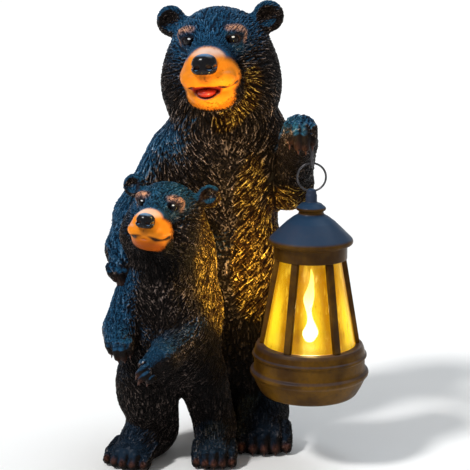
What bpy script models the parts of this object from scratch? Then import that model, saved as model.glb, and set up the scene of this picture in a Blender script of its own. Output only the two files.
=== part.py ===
# Garden statue: a mother bear and her cub, cast as one, with a lantern hung from her paw.
# Metres, +Z up. The bears look along -Y, and the origin is under the middle of the statue.

import math
from itertools import permutations, product

import bmesh
import bpy
import numpy as np
from mathutils import Euler, Matrix, Vector

# Driving dimensions, in metres
MOTHER_HEIGHT = 0.3195
FIT_GAP = 0.0004

LANTERN_ROOF_RADIUS = 0.0293
LANTERN_COLLAR_RADIUS = 0.0254
LANTERN_RIDGE_RADIUS = 0.0417
LANTERN_FOOT_RADIUS = 0.0325
LANTERN_BASE_HEIGHT = 0.0360
LANTERN_SHADE_HEIGHT = 0.0610
LANTERN_CAP_HEIGHT = 0.0485
LANTERN_WALL = 0.0018
GLASS_WALL = 0.0012
BAR_COUNT = 6
BAR_WIDTH = 0.0048
BAR_DEPTH = 0.0022
HANDLE_WIRE = 0.0013
HANDLE_RADIUS = 0.0100
HOOK_WIRE = 0.0022
HOOK_DEPTH = 0.0060
HANDLE_OVER_KNOB = 0.0178
ROUND_STEPS = 30

# The figure is modelled in parts of this many to the mother's height, so a unit is about a millimetre.
FIGURE_UNITS = 319.5
UNIT = MOTHER_HEIGHT / FIGURE_UNITS
SKIN_STEP = 2.1
FUR_TRIANGLES = 3450
FACE_TRIANGLES = 2850
HOOK_PLACE = (52.4, -60.0, 215.0)
PAW_UNDERSIDE = 226.0
FINE_PLACES = (
    ((-21, -50, 278), 34), ((-45, 5, 311), 16), ((25, 3, 311), 16), ((-56, -85, 176), 26), ((45, -57, 232), 22),
    ((-80, -78, 92), 16), ((-57, -91, 79), 14), ((-77, -50, 136), 15), ((-76, -80, 8), 20), ((-15, -80, 8), 18),
    ((21, -55, 9), 22), ((-75, -45, 194), 12), ((-24, -52, 192), 12),
)
FAR = 14.0
BLOCK = 28.0


def turned(yaw=0.0, pitch=0.0, roll=0.0):
    """Rotation matrix, in degrees: yaw about Z, then pitch about X and roll about Y in the turned frame."""
    angles = [math.radians(v) for v in (pitch, roll, yaw)]
    return np.array(Euler(angles, "YXZ").to_matrix())


class Clay:
    """Rounded masses that melt into each other. Its field is negative inside the figure."""

    def __init__(self):
        self.masses = []

    def ball(self, centre, radii, turn=None, blend=5.0, carve=False):
        """An ellipsoid."""
        centre, radii = np.array(centre, float), np.array(radii, float)
        turn = np.eye(3) if turn is None else turn

        def distance(points):
            local = (points - centre) @ turn
            near = np.linalg.norm(local / radii, axis=1)
            slope = np.linalg.norm(local / radii**2, axis=1) + 1e-9
            return near * (near - 1.0) / slope

        self.masses.append((distance, centre, radii.max(), blend, carve))

    def limb(self, start, end, start_radius, end_radius, blend=5.0, carve=False):
        """A tapered sausage."""
        start, end = np.array(start, float), np.array(end, float)
        axis = end - start
        length = np.linalg.norm(axis)
        lean = (start_radius - end_radius) / length
        rise = math.sqrt(max(1.0 - lean * lean, 1e-6))

        def distance(points):
            offset = points - start
            along = offset @ (axis / length)
            off = np.linalg.norm(offset - np.outer(along, axis / length), axis=1)
            share = np.clip((along - off * lean / rise) / length, 0.0, 1.0)
            centre_gap = np.hypot(off, along - share * length)
            return centre_gap - (start_radius + share * (end_radius - start_radius))

        reach = length / 2 + max(start_radius, end_radius)
        self.masses.append((distance, (start + end) / 2, reach, blend, carve))

    def field(self, points):
        """Signed distance of each point to the blended surface, up to FAR."""
        keys = np.floor(points / BLOCK).astype(int) @ np.array([1, 1000, 1000000])
        order = np.argsort(keys, kind="stable")
        total = np.empty(len(points))
        for rows in np.split(order, np.flatnonzero(np.diff(keys[order])) + 1):
            if len(rows):
                total[rows] = self.block_field(points[rows])
        return total

    def block_field(self, points):
        """The field at points that lie close together, from the masses round them only."""
        middle = (points.min(axis=0) + points.max(axis=0)) / 2
        spread = np.linalg.norm(points - middle, axis=1).max()
        total = np.full(len(points), FAR)
        for distance, centre, reach, blend, carve in self.masses:
            if np.linalg.norm(centre - middle) > reach + spread + (blend if carve else total.max() + blend):
                continue
            gap = np.linalg.norm(points - centre, axis=1) - reach
            near = gap < (blend if carve else total + blend)
            if not near.any():
                continue
            mass = distance(points[near])
            old = total[near]
            if carve:
                total[near] = -melted(-old, mass, blend)
            else:
                total[near] = melted(old, mass, blend)
        return total


def melted(first, second, blend):
    """The smaller of two distances, rounded where they are within the blend of each other."""
    overlap = np.maximum(blend - np.abs(first - second), 0.0) / blend
    return np.minimum(first, second) - overlap * overlap * blend / 4.0


def parity(order):
    """1 for an even permutation of 0, 1, 2 ..., and -1 for an odd one."""
    swaps = sum(a > b for k, a in enumerate(order) for b in order[k + 1 :])
    return -1 if swaps % 2 else 1


def skin(field, low, high, step):
    """Closed triangle skin of a field's zero surface, by marching through tetrahedra on a grid."""
    axes = [np.arange(low[k], high[k] + step, step) for k in range(3)]
    shape = tuple(len(axis) for axis in axes)
    grid = np.stack(np.meshgrid(*axes, indexing="ij"), axis=-1).reshape(-1, 3)
    values = field(grid)
    values[np.abs(values) < 1e-6] = 1e-6
    strides = np.array([shape[1] * shape[2], shape[2], 1])
    cells = np.arange(len(grid)).reshape(shape)[:-1, :-1, :-1].ravel()
    count = sum((values[cells + np.dot(c, strides)] < 0).astype(int) for c in product((0, 1), repeat=3))
    cells = cells[(count > 0) & (count < 8)]
    found = []
    for order in permutations(range(3)):
        steps = np.cumsum([np.zeros(3, int)] + [np.eye(3, dtype=int)[k] for k in order], axis=0)
        corners = cells[:, None] + steps @ strides
        code = (values[corners] < 0) @ np.array([1, 2, 4, 8])
        for case in range(1, 15):
            rows = corners[code == case]
            within = [k for k in range(4) if case >> k & 1]
            without = [k for k in range(4) if not case >> k & 1]
            cut = [sorted((a, b)) for a in within for b in without]
            fans = [(0, 1, 2)] if len(cut) == 3 else [(0, 1, 3), (0, 3, 2)]
            for fan in fans:
                if parity(order) * parity(within + without) < 0:
                    fan = fan[::-1]
                found.append(np.stack([rows[:, cut[k]] for k in fan], axis=1))
    edges = np.concatenate(found)
    keys, index = np.unique(edges[..., 0] * len(grid) + edges[..., 1], return_inverse=True)
    start, end = keys // len(grid), keys % len(grid)
    share = np.clip(values[start] / (values[start] - values[end]), 0.03, 0.97)[:, None]
    return grid[start] * (1 - share) + grid[end] * share, index.reshape(-1, 3)


def largest_piece(points, triangles):
    """The skin without the small pieces that lie apart from its largest one."""
    label = np.arange(len(points))
    while True:
        lowest = label[triangles].min(axis=1)
        joined = label.copy()
        np.minimum.at(joined, triangles.ravel(), np.repeat(lowest, 3))
        joined = joined[joined]
        if (joined == label).all():
            break
        label = joined
    kept = label == np.bincount(label).argmax()
    place = np.cumsum(kept) - 1
    return points[kept], place[triangles[kept[triangles[:, 0]]]]


def settled(field, points, rounds=3, reach=0.4):
    """Points moved along the field's slope onto its zero surface."""
    for _ in range(rounds):
        here = field(points)
        slope = np.stack([field(points + reach * axis) - field(points - reach * axis) for axis in np.eye(3)], axis=1)
        slope /= 2 * reach
        size = np.maximum((slope**2).sum(axis=1), 0.25)
        points = points - slope * (np.clip(here, -2.0, 2.0) / size)[:, None]
    return points


class Bear:
    """Places the masses of one bear's head in its own frame, scaled from the mother's."""

    def __init__(self, clay, centre, turn, size):
        self.clay, self.centre, self.turn, self.size = clay, np.array(centre, float), turn, size

    def at(self, point):
        return self.centre + self.turn @ (np.array(point, float) * self.size)

    def ball(self, centre, radii, turn=None, blend=5.0, carve=False):
        turn = self.turn if turn is None else self.turn @ turn
        self.clay.ball(self.at(centre), np.array(radii) * self.size, turn, blend * self.size, carve)

    def limb(self, start, end, start_radius, end_radius, blend=5.0, carve=False):
        radii = start_radius * self.size, end_radius * self.size
        self.clay.limb(self.at(start), self.at(end), *radii, blend * self.size, carve)

    def head(self, jaw_drop, broad=1.0):
        """Skull, cheeks, muzzle, jaw, ears and eyes. X is the bear's left, and -Y the way it looks."""
        self.ball((0, 4, 2), (38 * broad, 36, 36), blend=10)
        self.limb((0, -16, 16), (0, -38, 6), 20 * broad, 14, blend=12)
        self.ball((0, -45, -2), (17.5, 20, 14), blend=8)
        self.ball((0, -44, -20 - jaw_drop), (16.5, 20, 10), blend=5)
        for side in (-1, 1):
            self.ball((side * 22.5 * broad, -4, -16), (19 * broad, 24, 24), blend=14)
            self.ball((side * 15, -28, 20.5), (9, 7.5, 5.5), blend=8)
            self.ball((side * 8.5, -51, -8), (11, 13, 8), blend=6)
            self.ball((side * 36.5, 5, 29.5), (11, 6, 11), turned(yaw=side * 14), blend=4)
            self.ball((side * 37, -1.5, 29.5), (7, 5, 7.2), turned(yaw=side * 14), blend=2.5, carve=True)
            self.ball((side * 14.6, -36, 15.5), (5.0, 3.6, 3.6), blend=3, carve=True)
            self.ball((side * 14.6, -32, 15.5), (3.6, 3.6, 3.3), blend=0.8)
            self.limb((0, -65, -15.5 - jaw_drop), (side * 17.5, -43, -11), 2.6 + jaw_drop * 0.3, 1.2, 1.5, True)
        self.ball((0, -64.5, 2), (8.4, 6.2, 7.4), blend=2.0)
        self.ball((0, -57, -14 - jaw_drop), (9, 9, 2.2 + jaw_drop * 0.5), blend=2, carve=True)
        self.ball((0, -54, -15.5 - jaw_drop), (7.6, 9.5, 2.6), blend=1.0)


def paw(clay, wrist, knuckles, tips, spread, palm, toe, count=4):
    """A paw from wrist to knuckles, with toes side by side along spread that bend down to their tips."""
    wrist, knuckles, tips, spread = (np.array(v, float) for v in (wrist, knuckles, tips, spread))
    clay.limb(wrist, knuckles, palm[0], palm[1], blend=4)
    for k in range(count):
        shift = spread * (k - (count - 1) / 2)
        clay.limb(knuckles + shift * 0.9, tips + shift, toe * 1.05, toe * 0.8, blend=1.6)


def foot(clay, heel, toes, width, height, toe, count=5):
    """A flat foot from heel to toes, with toes side by side at the front."""
    heel, toes = np.array(heel, float), np.array(toes, float)
    ahead = toes - heel
    ahead[2] = 0
    length = np.linalg.norm(ahead)
    ahead /= length
    across = np.array([-ahead[1], ahead[0], 0])
    yaw = math.degrees(math.atan2(ahead[0], -ahead[1]))
    pad = toes - ahead * toe * 2.4
    instep = heel + (pad - heel) * 0.45
    clay.ball(instep + [0, 0, height * 0.08], (width * 0.46, length * 0.5, height * 0.55), turned(yaw=yaw), blend=8)
    clay.ball(pad + [0, 0, height * 0.05], (width * 0.5, toe * 2.6, height * 0.5), turned(yaw=yaw), blend=6)
    for k in range(count):
        off = (k - (count - 1) / 2) / ((count - 1) / 2)
        root = pad + across * off * (width * 0.39) - ahead * abs(off) * toe * 0.5
        tip = root + ahead * toe * (2.0 - 0.5 * off * off)
        clay.limb(root + [0, 0, height * 0.25], [tip[0], tip[1], toe * 0.9], toe * 1.15, toe * 0.85, blend=1.6)


def mother(clay):
    """The mother, standing, her right arm round the cub and her left paw up for the lantern."""
    clay.ball((-2, 6, 84), (38, 33, 44), blend=12)
    clay.ball((-5, 2, 132), (42, 36, 56), blend=14)
    clay.ball((-9, 2, 196), (42, 34, 48), blend=14)
    clay.ball((-8, 16, 190), (37, 28, 56), blend=14)
    clay.limb((-9, 2, 214), (-8, 1, 256), 39, 38, blend=14)
    clay.ball((0, 38, 76), (7, 7, 8), blend=6)
    head = Bear(clay, (-10.5, 0, 281), turned(yaw=-9, roll=-3), 1.0)
    head.head(jaw_drop=3.8)
    # Right arm, round the cub
    clay.limb((-42, 6, 210), (-71, 4, 166), 23, 17.5, blend=12)
    clay.limb((-71, 4, 166), (-79, -34, 150), 17.5, 13, blend=8)
    paw(clay, (-79, -34, 150), (-78, -47, 141), (-76, -55, 130), (4.6, 3.6, 0.5), (13, 11.5), 4.2)
    # Left arm, up for the lantern
    clay.limb((16, 5, 222), (40, -6, 192), 24, 16, blend=12)
    clay.limb((40, -6, 190), (44, -38, 223), 15.5, 13, blend=7)
    paw(clay, (44, -40, 228), (44.5, -53, 235.5), (45.5, -62, 226), (6.4, 0.4, -0.4), (13.5, 12.5), 4.0)
    # Legs
    clay.ball((16, 4, 60), (26, 28, 44), blend=12)
    clay.limb((19, 4, 50), (21, 0, 18), 21, 19, blend=8)
    foot(clay, (21, 4, 15), (21, -56, 9), 41, 33, 4.8)
    clay.ball((-14, 6, 60), (24, 27, 44), blend=12)
    clay.limb((-14, 8, 50), (-13, 8, 18), 20, 16, blend=8)
    foot(clay, (-13, 12, 14), (-13, -20, 9), 34, 30, 4.2)


def cub(clay):
    """The cub, standing in front of its mother and looking a little to its right."""
    clay.ball((-50, -50, 112), (30, 26, 40), blend=7)
    clay.ball((-45, -52, 82), (35, 29, 31), blend=10)
    clay.limb((-49, -50, 132), (-48, -52, 164), 24, 23.5, blend=9)
    head = Bear(clay, (-47.5, -54, 173), turned(yaw=-18, pitch=-9, roll=1.0), 0.70)
    head.head(jaw_drop=1.0, broad=0.88)
    # Arms
    clay.limb((-72, -54, 120), (-79, -64, 98), 13, 13, blend=5)
    paw(clay, (-79, -66, 100), (-79, -76, 93), (-78, -82, 84), (5.0, -1.0, 0), (12, 11.5), 3.8)
    clay.limb((-37, -54, 126), (-29, -62, 98), 14, 13, blend=6)
    clay.limb((-29, -64, 96), (-49, -87, 84), 12.5, 11, blend=4)
    paw(clay, (-48, -86, 84), (-56, -90, 79), (-63, -94, 73), (1.8, -1.6, -3.6), (10.5, 10), 3.4)
    # Legs
    clay.ball((-64, -52, 56), (21, 26, 30), blend=7)
    clay.limb((-61, -50, 46), (-58, -42, 20), 20, 17, blend=7)
    foot(clay, (-58, -38, 13), (-79, -80, 8), 38, 29, 4.6)
    clay.limb((-24, -50, 62), (-15, -44, 24), 18, 15, blend=7)
    foot(clay, (-14, -38, 13), (-15, -82, 8), 31, 27, 4.2)


def tufts(clay, foot_point, top_point, heights, around, size, limit, arc=(0, 360)):
    """Rows of fur tufts round an upright line, no farther off than the limit, with lifted lower tips."""
    foot_point, top_point = np.array(foot_point, float), np.array(top_point, float)
    rays, centres = [], []
    for row, height in enumerate(heights):
        share = (height - foot_point[2]) / (top_point[2] - foot_point[2])
        for k in range(around):
            bearing = 360 * (k + 0.5 * (row % 2)) / around
            if arc[0] <= bearing <= arc[1]:
                angle = math.radians(bearing - 90)
                rays.append([math.cos(angle), math.sin(angle), 0])
                centres.append(foot_point + (top_point - foot_point) * share)
    rays, centres = np.array(rays), np.array(centres)
    reaches = np.arange(4.0, 90.0, 1.0)
    along = centres[:, None] + rays[:, None] * reaches[:, None]
    outside = clay.field(along.reshape(-1, 3)).reshape(len(rays), -1) > 0
    found = reaches[outside.argmax(axis=1)]
    kept = found < limit
    spots = settled(clay.field, (centres + rays * found[:, None])[kept])
    normals = slope_of(clay.field, spots)
    for spot, normal in zip(spots, normals):
        down = np.array([0.0, 0.0, -1.0]) + normal * normal[2]
        if np.linalg.norm(down) < 0.3:
            continue
        down /= np.linalg.norm(down)
        side = np.cross(normal, down)
        sway = 0.35 * math.sin(spot @ [0.61, 0.83, 0.47])
        tip = spot + (down + side * sway) * size * 1.7 + normal * size * 0.2
        root = spot - down * size * 1.3 - normal * size * 0.75
        clay.limb(root, tip, size * 0.95, size * 0.14, blend=size * 0.2)


def figure_clay():
    """Both bears, with their larger tufts of fur."""
    clay = Clay()
    mother(clay)
    cub(clay)
    tufts(clay, (-4, 4, 90), (-9, 2, 260), range(104, 246, 11), 15, 6.0, 50)
    tufts(clay, (-10, 2, 250), (-11, 6, 300), range(252, 304, 12), 15, 5.5, 50, arc=(105, 255))
    tufts(clay, (-48, -52, 60), (-48, -52, 150), range(70, 152, 8), 13, 4.2, 34)
    return clay


def slope_of(field, points, reach=0.4):
    """Unit outward direction at each point."""
    slope = np.stack([field(points + reach * axis) - field(points - reach * axis) for axis in np.eye(3)], axis=1)
    return slope / np.maximum(np.linalg.norm(slope, axis=1), 1e-9)[:, None]


def figure_field(clay):
    """The figure, cut off flat at the soles."""

    def field(points):
        return np.maximum(clay.field(points), -points[:, 2])

    return field


def clear_scene():
    for thing in list(bpy.data.objects):
        bpy.data.objects.remove(thing)


def material(name, colour, roughness, metallic=0.0, alpha=1.0, glow=0.0):
    made = bpy.data.materials.new(name)
    made.use_nodes = True
    shader = made.node_tree.nodes["Principled BSDF"]
    shader.inputs["Base Color"].default_value = (*colour, 1.0)
    shader.inputs["Roughness"].default_value = roughness
    shader.inputs["Metallic"].default_value = metallic
    shader.inputs["Alpha"].default_value = alpha
    shader.inputs["Emission Color"].default_value = (*colour, 1.0)
    shader.inputs["Emission Strength"].default_value = glow
    return made


def link(name, mesh, finish=None):
    made = bpy.data.objects.new(name, mesh)
    bpy.context.scene.collection.objects.link(made)
    if finish is not None:
        mesh.materials.append(finish)
    return made


def applied(thing):
    """The object with its modifiers worked into its mesh."""
    graph = bpy.context.evaluated_depsgraph_get()
    mesh = bpy.data.meshes.new_from_object(thing.evaluated_get(graph), depsgraph=graph)
    thing.modifiers.clear()
    thing.data = mesh
    return thing


def combined(thing, other, operation):
    """A Boolean of two objects. The other one is removed."""
    step = thing.modifiers.new(operation.title(), "BOOLEAN")
    step.operation, step.solver, step.object = operation, "EXACT", other
    other.hide_render, other.display_type = True, "WIRE"
    bpy.context.view_layer.update()
    applied(thing)
    bpy.data.objects.remove(other)
    return thing


def lathe(name, profile, centre, finish=None, steps=ROUND_STEPS):
    """A closed outline of radius and height, turned about an upright axis at the centre."""
    form = bmesh.new()
    corners = [form.verts.new((radius, 0, height)) for radius, height in profile]
    edges = [form.edges.new((a, b)) for a, b in zip(corners, corners[1:] + corners[:1])]
    on_axis = [e for e in edges if max(v.co.x for v in e.verts) < 1e-7]
    bmesh.ops.delete(form, geom=on_axis, context="EDGES_FACES")
    bmesh.ops.spin(
        form, geom=form.verts[:] + form.edges[:], cent=(0, 0, 0), axis=(0, 0, 1), angle=2 * math.pi, steps=steps
    )
    bmesh.ops.remove_doubles(form, verts=form.verts, dist=1e-6)
    bmesh.ops.dissolve_degenerate(form, edges=form.edges, dist=1e-7)
    bmesh.ops.recalc_face_normals(form, faces=form.faces)
    bmesh.ops.translate(form, vec=centre, verts=form.verts)
    mesh = bpy.data.meshes.new(name)
    form.to_mesh(mesh)
    form.free()
    return link(name, mesh, finish)


def wire(name, points, thickness, finish, sides=8):
    """A round wire along a line of points, with flat ends."""
    points = [Vector(p) for p in points]
    form = bmesh.new()
    rings = []
    across = None
    for k, point in enumerate(points):
        ahead = (points[min(k + 1, len(points) - 1)] - points[max(k - 1, 0)]).normalized()
        start = across if across is not None else (Vector((0, 1, 0)) if abs(ahead.y) < 0.9 else Vector((1, 0, 0)))
        across = (start - ahead * start.dot(ahead)).normalized()
        other = ahead.cross(across)
        turns = [2 * math.pi * i / sides for i in range(sides)]
        rim = [point + (across * math.cos(t) + other * math.sin(t)) * thickness / 2 for t in turns]
        rings.append([form.verts.new(p) for p in rim])
    for one, two in zip(rings, rings[1:]):
        for i in range(sides):
            form.faces.new((one[i], one[(i + 1) % sides], two[(i + 1) % sides], two[i]))
    form.faces.new(rings[0])
    form.faces.new(rings[-1])
    bmesh.ops.recalc_face_normals(form, faces=form.faces)
    mesh = bpy.data.meshes.new(name)
    form.to_mesh(mesh)
    form.free()
    return link(name, mesh, finish)


def build_bears(clay, finish):
    """Both bears as one casting, drilled under the raised paw for the hook."""
    field = figure_field(clay)
    points, triangles = largest_piece(*skin(field, (-108, -116, -4), (76, 58, 327), SKIN_STEP))
    mesh = bpy.data.meshes.new("bears")
    mesh.from_pydata((points * UNIT).tolist(), [], triangles.tolist())
    bears = link("bears", mesh, finish)
    # The fur is thinned out first and the faces and paws after it, so that those keep more triangles.
    fine = np.zeros(len(points), bool)
    for centre, reach in FINE_PLACES:
        fine |= np.linalg.norm(points - centre, axis=1) < reach
    total, kept = len(triangles), len(triangles) * fine.mean()
    for name, chosen, ratio in (
        ("fur", ~fine, (kept + FUR_TRIANGLES) / total),
        ("faces", fine, (FACE_TRIANGLES + FUR_TRIANGLES) / (kept + FUR_TRIANGLES)),
    ):
        bears.vertex_groups.new(name=name).add([int(k) for k in np.flatnonzero(chosen)], 1.0, "REPLACE")
        thin = bears.modifiers.new(name, "DECIMATE")
        thin.ratio, thin.vertex_group, thin.vertex_group_factor = ratio, name, 0.0001
    bpy.context.view_layer.update()
    applied(bears)
    for vertex in bears.data.vertices:
        if abs(vertex.co.z) < 0.03 * UNIT:
            vertex.co.z = 0.0
    bore = HOOK_WIRE / 2 + FIT_GAP
    outline = [(0, -HOOK_DEPTH - 0.004), (bore, -HOOK_DEPTH - 0.004), (bore, FIT_GAP), (0, FIT_GAP)]
    drill = lathe("drill", outline, hook_line()[-1], steps=12)
    return combined(bears, drill, "DIFFERENCE")


def hook_line():
    """Middle line of the hook, from its free tip round under the handle and up into the paw."""
    centre = Vector(HOOK_PLACE) * UNIT
    bend = HOOK_WIRE / 2 + HANDLE_WIRE / 2 + FIT_GAP + 0.0002
    points = [centre + Vector((0, -bend, 0.0022))]
    for k in range(9):
        turn = math.pi * (1 + k / 8)
        points.append(centre + Vector((0, bend * math.cos(turn), bend * math.sin(turn))))
    points.append(Vector((centre.x, centre.y + bend, PAW_UNDERSIDE * UNIT + HOOK_DEPTH)))
    return points


def lantern_profiles():
    """Outlines of the turned lantern parts, as radius and height over the lantern's foot."""
    ridge, foot_radius, collar, roof = (
        LANTERN_RIDGE_RADIUS, LANTERN_FOOT_RADIUS, LANTERN_COLLAR_RADIUS, LANTERN_ROOF_RADIUS
    )
    deck = LANTERN_BASE_HEIGHT
    wall = LANTERN_WALL
    base = [(foot_radius, 0.0), (foot_radius * 1.06, 0.05), (foot_radius * 1.15, 0.18), (ridge * 0.93, 0.29)]
    base += [(ridge * 0.985, 0.36), (ridge, 0.42), (ridge, 0.49), (ridge * 0.98, 0.54), (ridge * 0.945, 0.60)]
    base += [(ridge * 0.945, 0.73), (ridge * 0.965, 0.79), (ridge * 0.95, 0.85), (ridge * 0.925, 0.92)]
    base += [(ridge * 0.90, 1.0)]
    drum = [(r, h * deck) for r, h in base]
    hollow = [(0, deck - wall), (ridge * 0.90 - wall, deck - wall), (ridge * 0.945 - wall, deck * 0.66)]
    hollow += [(ridge - wall * 1.3, deck * 0.45), (ridge * 0.93 - wall, deck * 0.28), (foot_radius - wall, 0.0)]
    drum = [(0, deck)] + drum[::-1] + hollow[::-1]
    start = deck + LANTERN_SHADE_HEIGHT
    tall = LANTERN_CAP_HEIGHT
    cap = [(collar, 0.0), (collar, 0.19), (roof * 0.985, 0.225), (roof, 0.25), (roof * 0.995, 0.30)]
    cap += [(roof * 0.90, 0.35), (roof * 0.74, 0.44), (roof * 0.575, 0.53), (roof * 0.37, 0.625)]
    cap += [(roof * 0.305, 0.66), (roof * 0.31, 0.68), (roof * 0.352, 0.71), (roof * 0.352, 0.75)]
    cap += [(roof * 0.28, 0.795), (roof * 0.14, 0.88), (roof * 0.165, 0.925), (roof * 0.145, 0.96), (0, 1.0)]
    cap = [(r, start + h * tall) for r, h in cap]
    inside = [(0, start + tall * 0.55), (roof * 0.42 - wall, start + tall * 0.53)]
    inside += [(roof * 0.90 - wall, start + tall * 0.29), (collar - wall, start + tall * 0.20)]
    cap = cap + inside + [(collar - wall, start)]
    return drum, cap


def bar_radii():
    """Outer radius of the bars at the deck and under the cap."""
    return LANTERN_RIDGE_RADIUS * 0.90, LANTERN_COLLAR_RADIUS


def build_lantern(place, dark, glass, glow):
    """The lantern, standing on its foot at the place: base with its bars, cap, glass and light."""
    deck, shade = LANTERN_BASE_HEIGHT, LANTERN_SHADE_HEIGHT
    drum_outline, cap_outline = lantern_profiles()
    low, high = bar_radii()
    lathe("lantern_cap", cap_outline, place, dark)
    frame = lathe("lantern_frame", drum_outline, place, dark)
    top = deck + shade - FIT_GAP
    ring = lathe(
        "ring",
        [(high - BAR_DEPTH, top - 0.0024), (high, top - 0.0024), (high, top), (high - BAR_DEPTH, top)],
        place,
    )
    bars = bmesh.new()
    for k in range(BAR_COUNT):
        turn = 2 * math.pi * (k + 0.5) / BAR_COUNT - math.pi / 2
        out, side = Vector((math.cos(turn), math.sin(turn), 0)), Vector((-math.sin(turn), math.cos(turn), 0))
        corners = []
        for radius, height in ((low - 0.0003, deck - 0.0010), (high - 0.0002, top - 0.0012)):
            for depth, across in ((0, -1), (0, 1), (1, 1), (1, -1)):
                spot = out * (radius - depth * BAR_DEPTH) + side * across * BAR_WIDTH / 2
                corners.append(bars.verts.new(Vector(place) + spot + Vector((0, 0, height))))
        for face in ((0, 1, 2, 3), (4, 5, 6, 7), (0, 1, 5, 4), (1, 2, 6, 5), (2, 3, 7, 6), (3, 0, 4, 7)):
            bars.faces.new([corners[i] for i in face])
    bmesh.ops.recalc_face_normals(bars, faces=bars.faces)
    mesh = bpy.data.meshes.new("bars")
    bars.to_mesh(mesh)
    bars.free()
    combined(frame, link("bars", mesh), "UNION")
    combined(frame, ring, "UNION")
    start, end = deck + FIT_GAP, top - FIT_GAP
    # The glass keeps clear of the bars' inner faces, which are flat.
    low_glass, high_glass = low - BAR_DEPTH - 3 * FIT_GAP, high - BAR_DEPTH - 2 * FIT_GAP
    outline = [(low_glass - GLASS_WALL, start), (low_glass, start), (high_glass, end), (high_glass - GLASS_WALL, end)]
    lathe("lantern_glass", outline, place, glass)
    flame = [(0.0, 0.0), (0.0062, 0.0), (0.0062, 0.05), (0.0050, 0.07), (0.0064, 0.16), (0.0058, 0.26)]
    flame += [(0.0036, 0.42), (0.0040, 0.55), (0.0026, 0.72), (0.0, 0.86)]
    lathe("lantern_light", [(r, start + h * shade) for r, h in flame], place, glow, steps=12)


def build_handle(place, finish):
    """The wire loop over the lantern, its two ends at the sides of the knob."""
    knob_height = LANTERN_BASE_HEIGHT + LANTERN_SHADE_HEIGHT + LANTERN_CAP_HEIGHT * 0.925
    knob = Vector(place) + Vector((0, 0, knob_height))
    knob_radius = LANTERN_ROOF_RADIUS * 0.165
    top = HOOK_PLACE[2] * UNIT
    half = (top - knob.z + HANDLE_WIRE * 0.3) / 2
    middle = knob.z - HANDLE_WIRE * 0.3 + half
    inner = knob_radius + HANDLE_WIRE * 0.5 + FIT_GAP
    start = math.asin(inner / HANDLE_RADIUS)
    points = []
    for k in range(21):
        turn = start + (2 * math.pi - 2 * start) * k / 20
        points.append((knob.x + HANDLE_RADIUS * math.sin(turn), knob.y, middle - half * math.cos(turn)))
    wire("lantern_handle", points, HANDLE_WIRE, finish, sides=6)


def main():
    clear_scene()
    fur = material("painted_resin", (0.030, 0.028, 0.030), 0.5)
    dark = material("dark_plastic", (0.055, 0.045, 0.040), 0.45)
    glass = material("clear_shade", (0.95, 0.85, 0.60), 0.05, alpha=0.35)
    glow = material("light", (1.0, 0.75, 0.25), 0.4, glow=4.0)
    steel = material("dark_wire", (0.05, 0.05, 0.055), 0.35, metallic=0.9)
    build_bears(figure_clay(), fur)
    wire("paw_hook", hook_line(), HOOK_WIRE, steel)
    handle_drop = LANTERN_BASE_HEIGHT + LANTERN_SHADE_HEIGHT + LANTERN_CAP_HEIGHT
    hook = Vector(HOOK_PLACE) * UNIT
    place = (hook.x, hook.y, hook.z - HANDLE_OVER_KNOB - handle_drop)
    build_lantern(place, dark, glass, glow)
    build_handle(place, steel)
    things = list(bpy.context.scene.objects)
    corners = [v.co for thing in things for v in thing.data.vertices]
    middle = [(min(c[k] for c in corners) + max(c[k] for c in corners)) / 2 for k in (0, 1)]
    shift = Vector((-middle[0], -middle[1], -min(c.z for c in corners)))
    for thing in things:
        thing.data.transform(Matrix.Translation(shift))
        thing.data.update()


if __name__ == "__main__":
    main()
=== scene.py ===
"""Dresses the garden statue: a mother bear and her cub with a lit lantern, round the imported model."""

import math
from itertools import permutations, product

import bpy
import numpy as np
from bpy.props import FloatProperty, FloatVectorProperty, IntProperty, PointerProperty
from mathutils import Euler, Matrix, Vector
from mathutils.kdtree import KDTree


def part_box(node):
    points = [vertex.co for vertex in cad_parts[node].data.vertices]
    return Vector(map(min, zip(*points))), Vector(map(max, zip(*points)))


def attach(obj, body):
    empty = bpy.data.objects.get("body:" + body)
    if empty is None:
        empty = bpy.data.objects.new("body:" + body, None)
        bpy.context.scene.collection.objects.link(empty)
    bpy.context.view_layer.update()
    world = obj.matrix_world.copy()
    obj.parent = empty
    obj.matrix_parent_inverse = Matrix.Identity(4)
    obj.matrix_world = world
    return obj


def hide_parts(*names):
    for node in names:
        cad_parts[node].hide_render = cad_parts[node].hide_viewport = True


bl_info = {
    "name": "Bear Statue With Lantern",
    "version": (1, 0, 0),
    "blender": (4, 5, 0),
    "location": "3D View > Sidebar > Bear Statue",
    "description": "A carved mother bear and cub with a lit hanging lantern",
    "category": "Add Mesh",
}

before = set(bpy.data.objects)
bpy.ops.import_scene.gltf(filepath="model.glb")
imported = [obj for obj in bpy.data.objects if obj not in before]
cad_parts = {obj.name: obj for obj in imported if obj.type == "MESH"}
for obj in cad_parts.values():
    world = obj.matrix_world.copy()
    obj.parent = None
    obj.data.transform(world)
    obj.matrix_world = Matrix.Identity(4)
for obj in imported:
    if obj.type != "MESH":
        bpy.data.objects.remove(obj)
bpy.ops.object.select_all(action="DESELECT")
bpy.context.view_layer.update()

# The figure is modelled in units of about a millimetre, this many to the mother's height.
MOTHER_HEIGHT = 0.3195
FIGURE_UNITS = 319.5
UNIT = MOTHER_HEIGHT / FIGURE_UNITS
# In those units: the hook's place, the largest distance that the clay's field gives, and its blocks' size.
HOOK_PLACE = (52.4, -60.0, 215.0)
FAR = 14.0
BLOCK = 28.0
# Factors that make one number of the three places of a block of the field, and of a cell of the fur.
BLOCK_KEY = np.array([1, 1000, 1000000])
CELL_KEY = np.array([1, 5003, 5003 * 4099])
# How far each lower jaw hangs. One that hangs more than OPEN_FROM shows an open mouth.
MOTHER_JAW = 3.8
CUB_JAW = 0.3
OPEN_FROM = 1.0
# The size of the mother's eye, in the figure's units.
EYE_RADIUS = 4.3
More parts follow.
